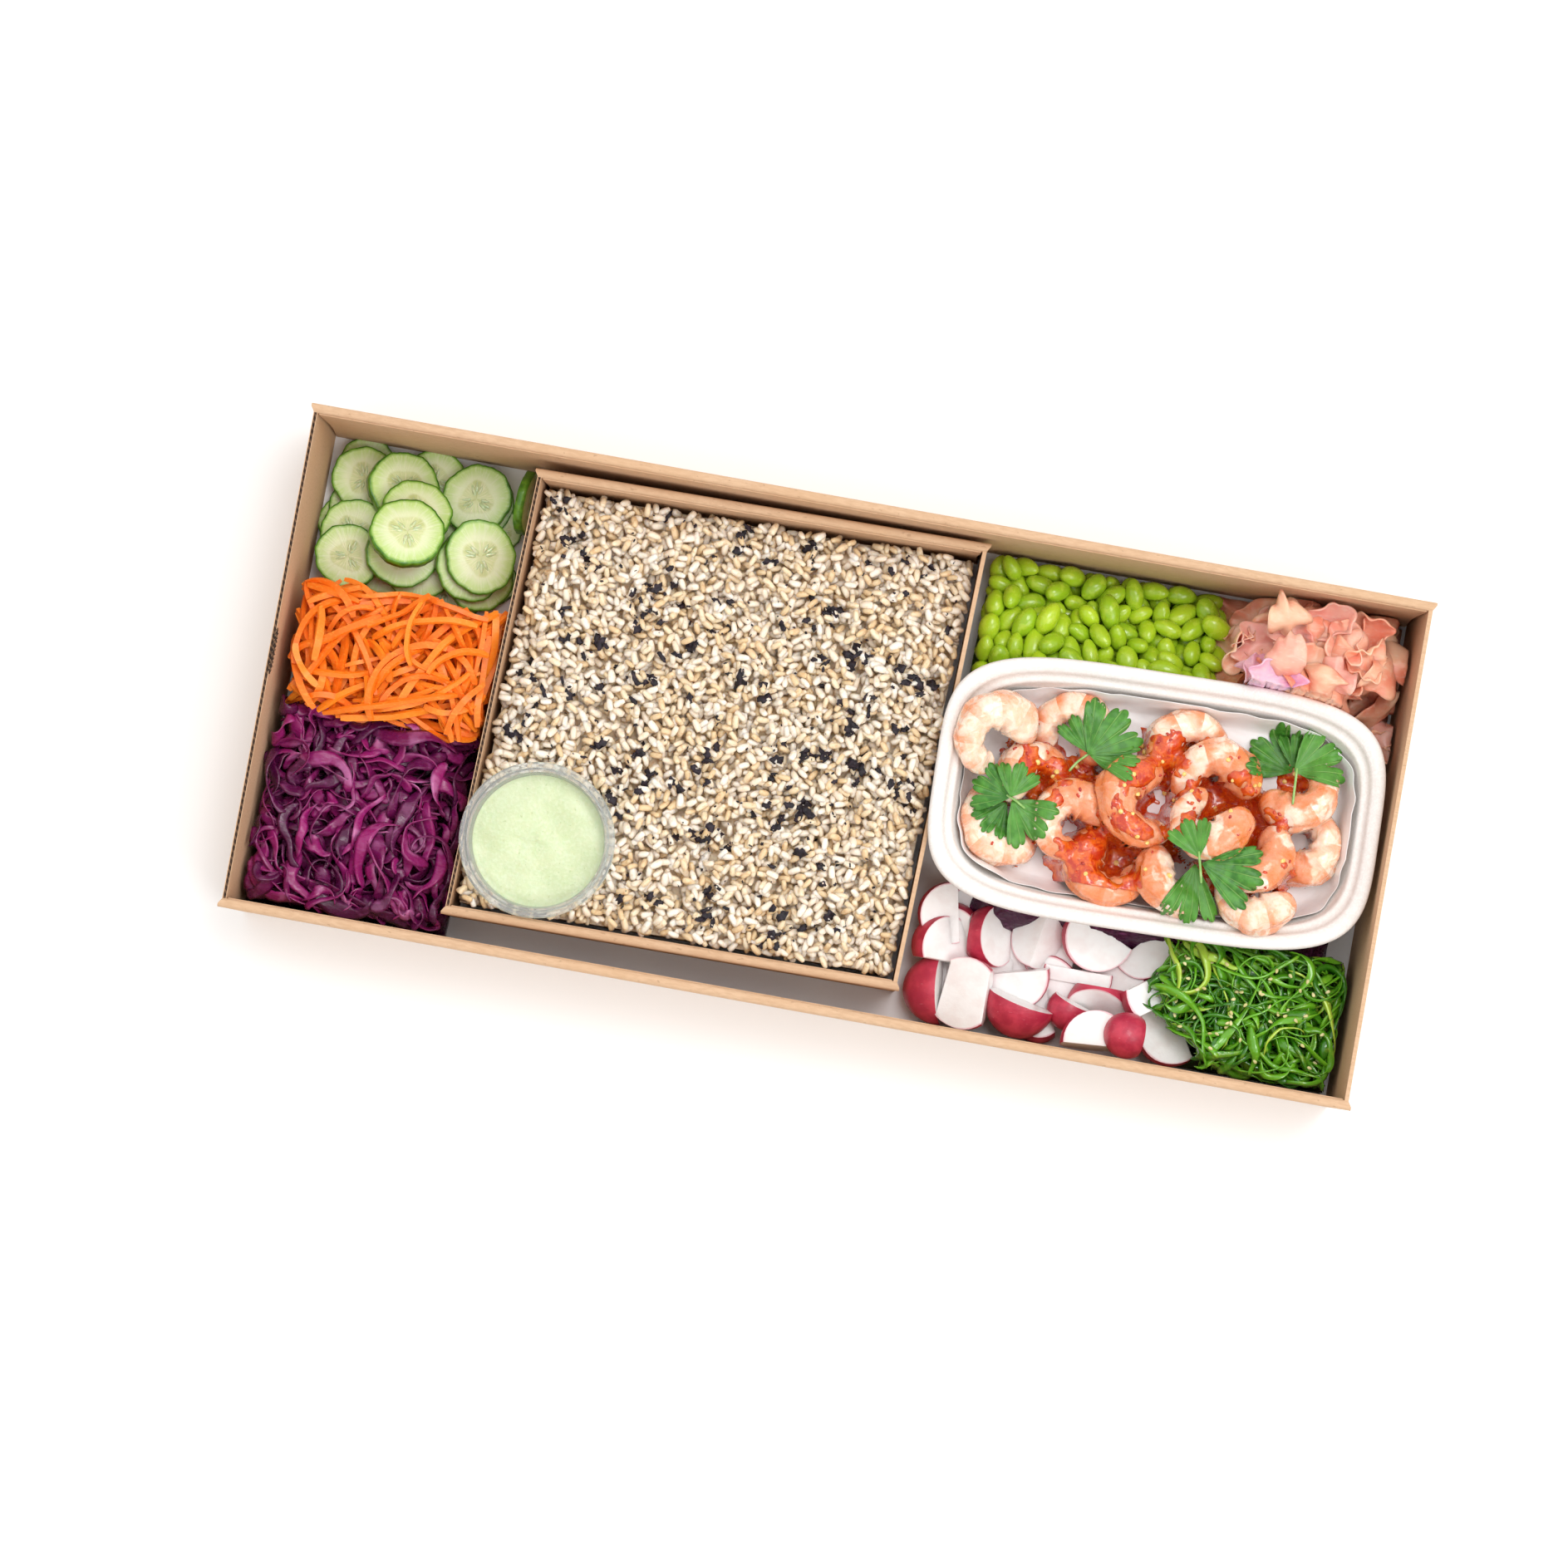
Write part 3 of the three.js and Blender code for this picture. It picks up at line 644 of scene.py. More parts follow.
def tray_paper():
    """The paper lines the well: flat on its floor, and up the walls in loose folds."""
    rows = rounded([(60, 38.7), (21.5, 38.7), (18.6, 40.4), (16.4, 45), (14.4, 52), (13.4, 55.4)], 2)

    def folds(angles, row):
        rise = eased((rows[row][1] - 39.5) / 14)
        edge = 3.4 * np.sin(5 * angles + 1) + 1.6 * np.sin(11 * angles + 2)
        return rise * edge

    liner = squared_turn("greaseproof_liner", rows, 220, folds, closed=False)
    points = points_of(liner) / MM
    rise = eased((points[:, 2] - 40) / 12)
    ripple = 0.5 * np.sin(points[:, 0] / 3.1 + 0.06 * points[:, 1]) + 0.5 * np.sin(points[:, 1] / 2.3)
    toward = np.array([PULP["x"], PULP["y"]]) - points[:, :2]
    toward /= np.linalg.norm(toward, axis=1)[:, None]
    points[:, :2] += toward * (rise * (0.7 + ripple))[:, None]
    set_points(liner, points * MM)
    middle = lambda edge: edge.is_boundary and all(v.co.z < 40 * MM for v in edge.verts)
    edit(liner, lambda: bpy.ops.mesh.edge_face_add(), edges=middle)
    modify(liner, "SOLIDIFY", thickness=0.25 * MM, offset=0)
    face_out(liner)
    return serve(smooth(liner), paper_finish(), "paper", "tray_paper")


# ---------------------------------------------------------------- pot of dip

POT = {"x": -133.9, "y": -65.9, "z": 22, "foot": 31, "neck": 34.1, "rim": 38.4, "height": 42}
DIP_LEVEL = 52


def lathed(name, profile, steps=96):
    """A profile of (radius, height) in mm, drawn as edges and spun about the pot's axis."""
    mesh = bpy.data.meshes.new(name)
    points = [(POT["x"] * MM + r * MM, POT["y"] * MM, z * MM) for r, z in profile]
    mesh.from_pydata(points, [(i, i + 1) for i in range(len(points) - 1)], [])
    piece = bpy.data.objects.new(name, mesh)
    bpy.context.collection.objects.link(piece)
    axis = (POT["x"] * MM, POT["y"] * MM, 0)
    turn = lambda: bpy.ops.mesh.spin(
        steps=steps, angle=2 * math.pi, center=axis, axis=(0, 0, 1), use_auto_merge=True
    )
    edit(piece, turn)
    edit(piece, lambda: bpy.ops.mesh.remove_doubles(threshold=1e-5))
    return face_out(piece)


def wall_radius(z):
    return mixed(POT["foot"], POT["neck"], (z - POT["z"]) / (POT["height"] - 3.4)) - 0.9


def clear_finish():
    finish = Finish("clear plastic", Roughness=0.12, Transmission_Weight=0.8, IOR=1.25)
    streaks = finish.clouds(0.03, 2)
    return finish.wear(finish.blend(streaks, "f4f8f6", "fbfdfc"), 0.04 + 0.06 * streaks)


def dip_cup():
    z = POT["z"]
    outside = [(0, z + 1), (26, z + 1), (28, z), (30.4, z), (31, z + 1.6), (wall_radius(56) + 0.9, 56)]
    flange = [(34.3, 60.4), (37.4, 60.3), (38.4, 60.9), (38.6, 62.4), (38.2, 63.6), (37.4, 64), (36.7, 63.6)]
    bead = [(36.3, 62.6), (35.7, 62.4), (35.3, 63.1), (34.7, 63.5), (34.1, 63.1), (33.7, 61.8)]
    inside = [(wall_radius(58), 58), (wall_radius(z + 3), z + 3), (29.4, z + 1.4), (0, z + 1.8)]
    cup = lathed("dip_pot", [*outside, *flange, *bead, *inside])
    return serve(smooth(cup, 50), clear_finish(), "clear", "dip_cup")


def dip_finish():
    finish = Finish("herb dip", Roughness=0.35, Subsurface_Weight=0.25, Subsurface_Scale=0.004)
    swirl = finish.clouds(0.022, 3, distortion=1.2)
    specks = finish.clouds(0.0014, 2).above(0.67, 0.74)
    grain = finish.clouds(0.0015, 5)
    shade = finish.blend(swirl.above(0.35, 0.65), "c9d5a8", "cfd9b0")
    shade = finish.blend(grain.above(0.4, 0.75) * 0.5, shade, "dde5c8")
    shade = finish.blend(specks * 0.4, shade, "9cb368")
    finish.relief(swirl + grain * 0.35 + specks * 0.2, 0.0009, 0.6)
    return finish.wear(shade, 0.25 + 0.25 * grain)


def dip():
    z = POT["z"] + 1.6
    into_wall = 0.5
    edge = wall_radius(DIP_LEVEL) + into_wall
    rows = [(r, DIP_LEVEL) for r in np.linspace(edge, 1, 34)]
    side = (wall_radius(z + 3) + into_wall, z + 2.4)
    fill = lathed("dip_filling", [(0, z), (28.5, z), side, *rows, (0, DIP_LEVEL)])
    points = points_of(fill) / MM
    top = points[:, 2] > DIP_LEVEL - 0.01
    x, y = points[:, 0] - POT["x"], points[:, 1] - POT["y"]
    radius = np.hypot(x, y)
    turn = np.arctan2(y, x)
    ridges = 0.45 * np.sin(radius / 3.2 + 1.1 * turn) * eased((edge - radius) / 6)
    shore = 0.9 * eased((radius - edge + 1.6) / 1.6)
    sweep = 0.5 * wobble(x, y, 7, 3) * eased((edge - radius) / 5)
    points[:, 2] += np.where(top, ridges + sweep + shore, 0)
    set_points(fill, points * MM)
    return serve(smooth(fill, 60), dip_finish(), "dip", "dip")


# ---------------------------------------------------------------- piling things up


class Pile:
    """The surface of a heap as it grows, on a grid of small cells."""

    CELL = 0.9 * MM

    def __init__(self, low, high, height):
        self.low = np.array(low[:2])
        self.shape = tuple(np.ceil((np.array(high[:2]) - self.low) / self.CELL).astype(int) + 1)
        x = self.low[0] + self.CELL * np.arange(self.shape[0])[:, None]
        y = self.low[1] + self.CELL * np.arange(self.shape[1])[None, :]
        self.height = np.array(height(x + 0 * y, y + 0 * x), float)

    def cell(self, x, y):
        i = np.clip(((x - self.low[0]) / self.CELL).astype(int), 0, self.shape[0] - 1)
        j = np.clip(((y - self.low[1]) / self.CELL).astype(int), 0, self.shape[1] - 1)
        return i, j

    def at(self, x, y):
        return self.height[self.cell(np.asarray(x), np.asarray(y))]

    def cover(self, x, y, z):
        np.maximum.at(self.height, self.cell(np.asarray(x), np.asarray(y)), z)


def turned(yaw, pitch, roll):
    """A rotation that rolls a piece about its own X, tips its nose, then turns it about Z."""
    return np.array(
        Matrix.Rotation(yaw, 3, "Z") @ Matrix.Rotation(-pitch, 3, "Y") @ Matrix.Rotation(roll, 3, "X")
    )


# ---------------------------------------------------------------- brown rice and seaweed flakes

RICE = {"front": 49, "back": 34, "wallDrop": 6, "halfLength": 108.2, "halfWidth": 105.6}
GRAIN = (3.5 * MM, 1.75 * MM, 1.6 * MM)
GRAINS = 7000


def rice_level(x, y):
    """The height of the heap over the square tray's own (x, y), in metres."""
    x, y = x / MM, y / MM
    to_back = eased((y + 20) / (2 * RICE["halfWidth"]))
    near_wall = np.maximum(eased((np.abs(x) - 88) / 20), eased((y - 86) / 20))
    level = mixed(RICE["front"], RICE["back"], to_back) - RICE["wallDrop"] * near_wall
    return (level + 1.5 * wobble(x, y, 9, 1)) * MM


def in_square_tray(points):
    """Carries places from the square tray's own frame to where it stands."""
    place = np.array(SQUARE_PLACE)
    return points @ place[:3, :3].T + place[:3, 3]


def rice_grain(name, plump):
    """A cooked grain: a ball drawn out long and blunt at one end."""
    grain = ball(name, 6, 5)
    points = points_of(grain)[:, [2, 0, 1]]
    girth = np.hypot(points[:, 1], points[:, 2])
    points[:, 1:] *= (np.maximum(girth, 0.2) ** -0.42)[:, None]
    points[:, 0] *= 1 - 0.07 * (girth < 0.3)
    long, wide, thick = GRAIN
    taper = 1 - 0.12 * points[:, 0]
    bend = 0.07 * long * points[:, 0] ** 2
    x, y, z = points.T
    shaped = np.stack([x * long, y * wide * taper * plump - bend, z * thick * taper * plump], 1)
    set_points(grain, shaped)
    face_out(grain)
    return Shape(grain)


def rice_finish(name, light, dark, germ):
    finish = Finish(name, Roughness=0.42, Subsurface_Weight=0.5, Subsurface_Scale=0.005)
    finish.shader.inputs["Subsurface Radius"].default_value = (1, 0.75, 0.5)
    tone = finish.attribute("tone")
    bran = finish.clouds(0.0022, 3)
    shade = finish.blend(tone.above(0.1, 0.95), light, dark)
    shade = finish.blend(bran.above(0.52, 0.7) * 0.55, shade, germ)
    finish.relief(finish.clouds(0.0009, 3), 0.0002, 0.5)
    return finish.wear(shade, 0.3 + 0.3 * bran)


def pot_clear(x, y, room):
    """Whether a place in the box keeps that much clear of the pot of dip."""
    return math.hypot(x / MM - POT["x"], y / MM - POT["y"]) > room


def rice_heap():
    rng = random.Random(11)
    half_x, half_y = RICE["halfLength"] * MM, RICE["halfWidth"] * MM
    sunk = 2.4 * MM
    core = sheet_of("rice_core", (-half_x, -half_y), (half_x, half_y), 140, 140)
    points = points_of(core)
    bumps = 0.7 * MM * wobble(points[:, 0] / MM, points[:, 1] / MM, 1.3, 2)
    points[:, 2] = rice_level(points[:, 0], points[:, 1]) - sunk + bumps
    points = in_square_tray(points)
    reach = np.hypot(points[:, 0] - POT["x"] * MM, points[:, 1] - POT["y"] * MM)
    hollow = np.where(reach < (POT["foot"] + 2) * MM, (POT["z"] - 1) * MM, points[:, 2])
    points[:, 2] = np.minimum(points[:, 2], hollow)
    set_points(core, points)
    skirt = lambda: bpy.ops.mesh.extrude_region_move(
        TRANSFORM_OT_translate={"value": (0, 0, -1 * MM)}
    )
    edit(core, skirt)
    foot = (SQUARE_TRAY["foot"] + 2.4) * MM
    base = points_of(core)
    lower = np.array([vertex.select for vertex in core.data.vertices])
    base[lower, 2] = foot
    set_points(core, base)
    face_out(core)
    serve(smooth(core, 50), rice_finish("packed rice", "f8e2c4", "f0d2a8", "deb078"), "rice", "rice")

    pile = Pile((-half_x, -half_y), (half_x, half_y), lambda x, y: rice_level(x, y) - sunk)
    kinds = {"pale": [], "tan": []}
    shapes = {"pale": rice_grain("pale_grain", 1.02), "tan": rice_grain("tan_grain", 0.94)}
    long, wide, thick = GRAIN
    inset = 0.5 * MM
    for _ in range(GRAINS):
        tries = [
            (rng.uniform(-half_x + inset, half_x - inset), rng.uniform(-half_y + inset, half_y - inset))
            for _ in range(3)
        ]
        gaps = [rice_level(np.float64(x), np.float64(y)) - pile.at(x, y) for x, y in tries]
        x, y = tries[int(np.argmax(gaps))]
        yaw = rng.uniform(0, 2 * math.pi)
        size = rng.uniform(0.86, 1.12)
        way = np.array([math.cos(yaw), math.sin(yaw)])
        steps = np.array([-0.8, -0.4, 0, 0.4, 0.8]) * long * size
        heights = pile.at(x + way[0] * steps, y + way[1] * steps)
        if rng.random() < 0.12:
            pitch = rng.uniform(-0.9, 0.9)
        else:
            slope = (heights[-1] - heights[0]) / (steps[-1] - steps[0])
            pitch = math.atan(max(-0.8, min(0.8, slope))) + rng.gauss(0, 0.08)
        rest = np.max(heights - np.tan(pitch) * steps * 0.9)
        z = mixed(np.mean(heights), rest, 0.75) + thick * 0.72
        placed = in_square_tray(np.array([[x, y, z]]))[0]
        if not pot_clear(placed[0], placed[1], 35.6 if z < 59 * MM else 40):
            continue
        run = np.linspace(-0.9, 0.9, 9)[:, None] * long * size
        aside = np.linspace(-0.8, 0.8, 4) * wide
        tops = z + np.tan(pitch) * run + thick * (0.85 - 0.5 * (aside / wide) ** 2)
        pile.cover(x + way[0] * run - way[1] * aside, y + way[1] * run + way[0] * aside, tops)
        kind = "pale" if rng.random() < 0.56 else "tan"
        shape = shapes[kind]
        spread = np.array([size, size * rng.uniform(0.9, 1.12), size])
        points = (shape.points * spread) @ turned(yaw, pitch, rng.uniform(0, 2 * math.pi)).T + placed
        kinds[kind].append((shape, points, rng.random()))
    pale = copies("rice_grains_pale", kinds["pale"])
    serve(pale, rice_finish("pale grains", "f9ebda", "f3dfc8", "e2c6a4"), "rice", "rice")
    tan = copies("rice_grains_tan", kinds["tan"])
    serve(tan, rice_finish("tan grains", "f2dcbe", "e4c59c", "cc9f6c"), "rice", "rice")
    return pile


# ---------------------------------------------------------------- strands and their heaps


def strand_shape(name, sides, steps, taper=0.3):
    """A strand of unit length and width: a rod along X, its ends drawn in, ready to be bent."""
    deselect()
    bpy.ops.mesh.primitive_cylinder_add(vertices=sides, radius=0.5, depth=1, rotation=(0, math.pi / 2, 0))
    rod = added(name)
    lengthways = lambda edge: abs(edge.verts[0].co.x - edge.verts[1].co.x) > 0.5
    edit(rod, lambda: bpy.ops.mesh.subdivide(number_cuts=steps - 1), edges=lengthways)
    points = points_of(rod)
    points[:, 0] += 0.5
    ends = eased(np.minimum(points[:, 0], 1 - points[:, 0]) * steps / 1.2)
    points[:, 1:] *= mixed(taper, 1, ends)[:, None]
    set_points(rod, points)
    return Shape(rod)


def bent(shape, path, width, thick, twist=0.0, lie=0.0, swell=0.0):
    """A strand bent along a path of points, with its width lying flat, turned by lie and twist."""
    steps = np.linalg.norm(np.diff(path, axis=0), axis=1)
    run = np.concatenate([[0], np.cumsum(steps)])
    run /= run[-1]
    t = shape.points[:, 0]
    middle = np.stack([np.interp(t, run, path[:, axis]) for axis in range(3)], 1)
    slopes = np.gradient(path, run, axis=0)
    ahead = np.stack([np.interp(t, run, slopes[:, axis]) for axis in range(3)], 1)
    ahead /= np.linalg.norm(ahead, axis=1)[:, None]
    side = np.cross([0, 0, 1], ahead)
    side /= np.maximum(np.linalg.norm(side, axis=1), 1e-6)[:, None]
    over = np.cross(ahead, side)
    turn = lie + twist * (t - 0.5)
    across = side * np.cos(turn)[:, None] + over * np.sin(turn)[:, None]
    above = over * np.cos(turn)[:, None] - side * np.sin(turn)[:, None]
    fuller = width * (1 + swell * np.sin(7 * t + 20 * lie))
    aside, over = shape.points[:, 1] * fuller, shape.points[:, 2] * thick
    return middle + across * aside[:, None] + above * over[:, None]


def curled_path(rng, length, curl, waver, steps=14):
    """A flat path of that length that turns by curl in all, unevenly by waver."""
    heading = rng.uniform(0, 2 * math.pi)
    bends = [curl / steps + rng.gauss(0, waver) for _ in range(steps)]
    bends = np.convolve(bends, [0.25, 0.5, 0.25], "same")
    headings = heading + np.cumsum(bends)
    path = np.cumsum(np.stack([np.cos(headings), np.sin(headings)], 1), 0) * length / steps
    return path - path.mean(0)


def draped(pile, path, half, stiff=0.5, springy=0.0):
    """Lays a flat path on the pile: it rests on the high places, and bridges the hollows."""
    run = np.concatenate([[0], np.cumsum(np.linalg.norm(np.diff(path, axis=0), axis=1))])
    ground = pile.at(path[:, 0], path[:, 1])
    held = np.max(ground[None, :] - stiff * np.abs(run[:, None] - run[None, :]), axis=1)
    held = np.convolve(np.pad(held, 1, "edge"), [0.25, 0.5, 0.25], "valid")
    level = held + half + springy * np.sin(np.linspace(0, math.pi, len(path)))
    return np.column_stack([path, level])


def press(pile, path, width, half):
    """Adds a strand that lies on the pile to the pile's surface."""
    fine = np.linspace(0, len(path) - 1, len(path) * 5)
    line = np.stack([np.interp(fine, np.arange(len(path)), path[:, axis]) for axis in range(3)], 1)
    ahead = np.gradient(line[:, :2], axis=0)
    ahead /= np.linalg.norm(ahead, axis=1)[:, None] + 1e-9
    for share in (-0.4, -0.2, 0, 0.2, 0.4):
        x = line[:, 0] - ahead[:, 1] * width * share
        y = line[:, 1] + ahead[:, 0] * width * share
        pile.cover(x, y, line[:, 2] + half * (1 - 2 * abs(share) * 0.6))


class Patch:
    """The ground that a heap covers, in millimetres, and how high the heap stands."""

    def __init__(self, left, right, front, back, level):
        self.left, self.right, self.front, self.back, self.level = left, right, front, back, level

    def box(self):
        middle_y = (self.front(0) + self.back(0)) / 2
        xs = [self.left(self.front(0)), self.left(middle_y), self.right(self.back(0)), self.right(middle_y)]
        return min(xs), self.front(0) - 3, max(xs), self.back(0) + 3

    def holds(self, x, y, margin=0.0):
        """Whether places in millimetres lie on the patch, that far inside its edges."""
        inside = (x > self.left(y) + margin) & (x < self.right(y) - margin)
        inside &= (y > self.front(x) + margin) & (y < self.back(x) - margin)
        return inside & ~in_pulp_tray(x, y, 12)

    def top(self, x, y):
        return self.level(x, y)

    def pile(self, sunk):
        left, front, right, back = self.box()
        low, high = (left * MM, front * MM), (right * MM, back * MM)
        return Pile(low, high, lambda x, y: (self.level(x / MM, y / MM) - sunk) * MM)

    def core(self, name, sunk, finish, slot, node, bump=1.2, pitch=2.5):
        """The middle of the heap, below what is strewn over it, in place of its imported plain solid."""
        core = sheet_of(name, (0, 0), (1, 1), 60, 60)
        u, v = points_of(core)[:, 0], points_of(core)[:, 1]
        y = mixed(self.front(0 * u), self.back(0 * u), v)
        x = mixed(self.left(y), self.right(y), u)
        y = mixed(self.front(x), self.back(x), v)
        edge = np.minimum.reduce([u, 1 - u, v, 1 - v])
        level = self.level(x, y) - sunk
        level = mixed(0.45 * level, level, np.sqrt(eased(edge / 0.12))) + bump * wobble(x, y, pitch, 5)
        keep = in_pulp_tray(x, y, 2)
        level = np.where(keep, np.minimum(level, 33), level)
        set_points(core, np.stack([x, y, level], 1) * MM)
        edit(core, lambda: bpy.ops.mesh.extrude_region_move(TRANSFORM_OT_translate={"value": (0, 0, -MM)}))
        points = points_of(core)
        lower = np.array([vertex.select for vertex in core.data.vertices])
        points[lower, 2] = HEAP_FLOOR
        set_points(core, points)
        face_out(core)
        return serve(smooth(core), finish, slot, node)


HEAP_FLOOR = 2.4 * MM


def in_pulp_tray(x, y, inset):
    """Whether places in millimetres lie inside the pulp tray's outline, drawn in by inset."""
    c, s = math.cos(PULP["turn"]), math.sin(PULP["turn"])
    along = c * (x - PULP["x"]) + s * (y - PULP["y"])
    across = c * (y - PULP["y"]) - s * (x - PULP["x"])
    power = PULP["squareness"]
    reach = np.abs(along / (PULP["halfLength"] - inset)) ** power
    return reach + np.abs(across / (PULP["halfWidth"] - inset)) ** power < 1


def square_left(y):
    return -170.6 + 0.0285 * y


def square_right(y):
    return 57.9 + 0.0285 * y


def strew(patch, pile, rng, count, make_path, width, thick, margin, stiff=0.5, springy=0.0, tries=30):
    """Lays strands over a heap, lowest places first. Gives their paths, widths and thicknesses."""
    laid = []
    left, front, right, back = patch.box()
    for _ in range(count):
        best = None
        for _ in range(tries):
            path = make_path(rng) + np.array([rng.uniform(left, right), rng.uniform(front, back)])
            if not patch.holds(path[:, 0], path[:, 1], margin).all():
                continue
            over = np.mean(pile.at(path[:, 0] * MM, path[:, 1] * MM)) / MM
            over -= np.mean(patch.top(path[:, 0], path[:, 1]))
            if best is None or over < best[0]:
                best = (over, path)
            if over < -4:
                break
        if best is None:
            continue
        wide, deep = rng.uniform(*width), rng.uniform(*thick)
        path = draped(pile, best[1] * MM, deep * MM / 2, stiff, springy * MM * rng.random())
        press(pile, path, wide * MM, deep * MM / 2)
        laid.append((path, wide * MM, deep * MM))
    return laid


# ---------------------------------------------------------------- carrot

carrot_patch = Patch(
    lambda y: -273 + 0 * y,
    square_left,
    lambda x: -23 - 0.03 * (x + 230) + 2 * np.sin(x / 9),
    lambda x: 44 + 2 * np.sin(x / 7),
    lambda x, y: 34 + 3 * wobble(x, y, 8, 2),
)


def carrot_finish(name, bright, deep):
    finish = Finish(name, Roughness=0.4, Subsurface_Weight=0.2, Subsurface_Scale=0.002)
    tone = finish.attribute("tone")
    fibres = finish.clouds(0.0012, 4, finish.stretched((0.4, 1, 1), 0.4))
    shade = finish.blend(tone, bright, deep)
    shade = finish.blend(fibres.above(0.5, 0.75) * 0.4, shade, "ffb04a")
    finish.relief(fibres, 0.0003, 0.5)
    return finish.wear(shade, 0.32 + 0.25 * fibres)


def carrot():
    rng = random.Random(21)
    sunk = 12
    # the heap's middle is darker than the strands: painted shade for the depths between them
    bed = carrot_finish("packed carrot", "d9680c", "b84a06")
    carrot_patch.core("carrot_core", sunk, bed, "carrot", "carrot", 1.5)
    pile = carrot_patch.pile(sunk)
    shape = strand_shape("julienne", 4, 13, 0.75)
    across, over = shape.points[:, 1].copy(), shape.points[:, 2].copy()
    shape.points[:, 1:] = np.stack([across - over, across + over], 1)
    make = lambda rng: curled_path(rng, rng.uniform(26, 78), rng.gauss(0, 1.3), 0.07)
    laid = strew(carrot_patch, pile, rng, 290, make, (1.9, 3.7), (1.5, 2.4), 0.6, 0.45, 4)
    items = []
    for path, wide, deep in laid:
        points = bent(shape, path, wide, deep, rng.uniform(-1.2, 1.2), rng.uniform(-0.7, 0.7), 0.08)
        items.append((shape, points, rng.random()))
    strands = smooth(copies("carrot_strands", items), 40)
    return serve(strands, carrot_finish("carrot", "fc8c1c", "f2700c"), "carrot", "carrot")


# ---------------------------------------------------------------- red cabbage


def cabbage_level(x, y):
    dip = 12 * eased((x + 200) / 18) * eased((60 - np.abs(y + 70)) / 30)
    return 40 - dip + 4 * wobble(x, y, 9, 3)


cabbage_patch = Patch(
    lambda y: -275 + np.sin(y / 6),
    lambda y: square_left(y) - 1,
    lambda x: -120 + 0 * x,
    lambda x: -17 - 0.03 * (x + 230) + 2 * np.sin(x / 9),
    cabbage_level,
)
bed_patch = Patch(
    lambda y: 80 + 0 * y,
    lambda y: 264 + 0 * y,
    lambda x: -66 + 2 * np.sin(x / 9),
    lambda x: 46 + 0 * x,
    lambda x, y: 33 + 0 * x,
)


def cabbage_finish(name, bright, deep, pale):
    finish = Finish(name, Roughness=0.3, Subsurface_Weight=0.12, Subsurface_Scale=0.002)
    tone = finish.attribute("tone")
    veins = finish.clouds(0.0022, 4, finish.stretched((0.35, 1, 1), 0.7))
    patches = finish.clouds(0.009, 2)
    shade = finish.blend(tone.above(0.05, 0.95), deep, bright)
    shade = finish.blend(patches.above(0.5, 0.72) * tone * 0.7, shade, pale)
    shade = finish.blend(veins.above(0.55, 0.75) * 0.35, shade, "a8508e")
    finish.relief(veins + patches * 0.5, 0.0006, 0.6)
    return finish.wear(shade, 0.14 + 0.26 * veins)


def shreds(name, patch, pile, rng, count, finish, nodes, length=(16, 52), springy=5.0, margin=1.0):
    shape = strand_shape("shred", 6, 15, 0.45)
    make = lambda rng: curled_path(rng, rng.uniform(*length), rng.gauss(0, 1.5), 0.32)
    laid = strew(patch, pile, rng, count, make, (2.2, 8), (0.6, 1.2), margin, 0.6, springy)
    items = []
    for path, wide, deep in laid:
        points = bent(shape, path, wide, deep, rng.gauss(0, 2.6), rng.gauss(0, 1.0), 0.3)
        items.append((shape, points, rng.random()))
    return serve(copies(name, items), finish, "cabbage", *nodes)


def cabbage():
    rng = random.Random(31)
    sunk = 14
    # this darker colour, also used for the cabbage bed core, is painted shade for the depths between the
    # shreds
    bed = cabbage_finish("packed cabbage", "5d1244", "3c0a2e", "6a2256")
    cabbage_patch.core("cabbage_core", sunk, bed, "cabbage", "cabbage", 2, 3)
    finish = cabbage_finish("red cabbage", "98206a", "4e0c3a", "cf83b4")
    shreds("cabbage_shreds", cabbage_patch, cabbage_patch.pile(sunk), rng, 380, finish, ["cabbage"])
    bed_patch.core("cabbage_bed_core", 6, bed, "cabbage", "cabbage_bed", 1.5, 3)


# ---------------------------------------------------------------- seaweed salad

seaweed_patch = Patch(
    lambda y: 179 + 5 * np.sin(y / 6) + 24 * eased((-97 - y) / 14),
    lambda y: 274 + 0 * y,
    lambda x: -119.5 + 0 * x,
    lambda x: -53 + 0 * x,
    lambda x, y: 33 + 2.5 * wobble(x, y, 8, 6),
)


def seaweed_finish(name, bright, deep, pale):
    finish = Finish(name, Roughness=0.1, Subsurface_Weight=0.3, Subsurface_Scale=0.002, Coat_Roughness=0.05)
    finish.shader.inputs["Subsurface Radius"].default_value = (0.4, 1, 0.15)
    tone = finish.attribute("tone")
    patches = finish.clouds(0.006, 3)
    shade = finish.blend(tone.above(0, 0.8), deep, bright)
    shade = finish.blend(tone.above(0.86, 0.98), shade, pale)
    shade = finish.blend(patches.above(0.55, 0.75) * 0.4, shade, pale)
    finish.relief(finish.clouds(0.0016, 3), 0.0004, 0.6)
    return finish.wear(shade, 0.1 + 0.2 * patches, coat=0.4 + 0.4 * patches)


def sesame_finish():
    finish = Finish("sesame", Roughness=0.35, Subsurface_Weight=0.1, Subsurface_Scale=0.001)
    tone = finish.attribute("tone")
    finish.relief(finish.clouds(0.0007), 0.0002, 0.5)
    return finish.wear(finish.blend(tone, "e3dba0", "c9c07a"))


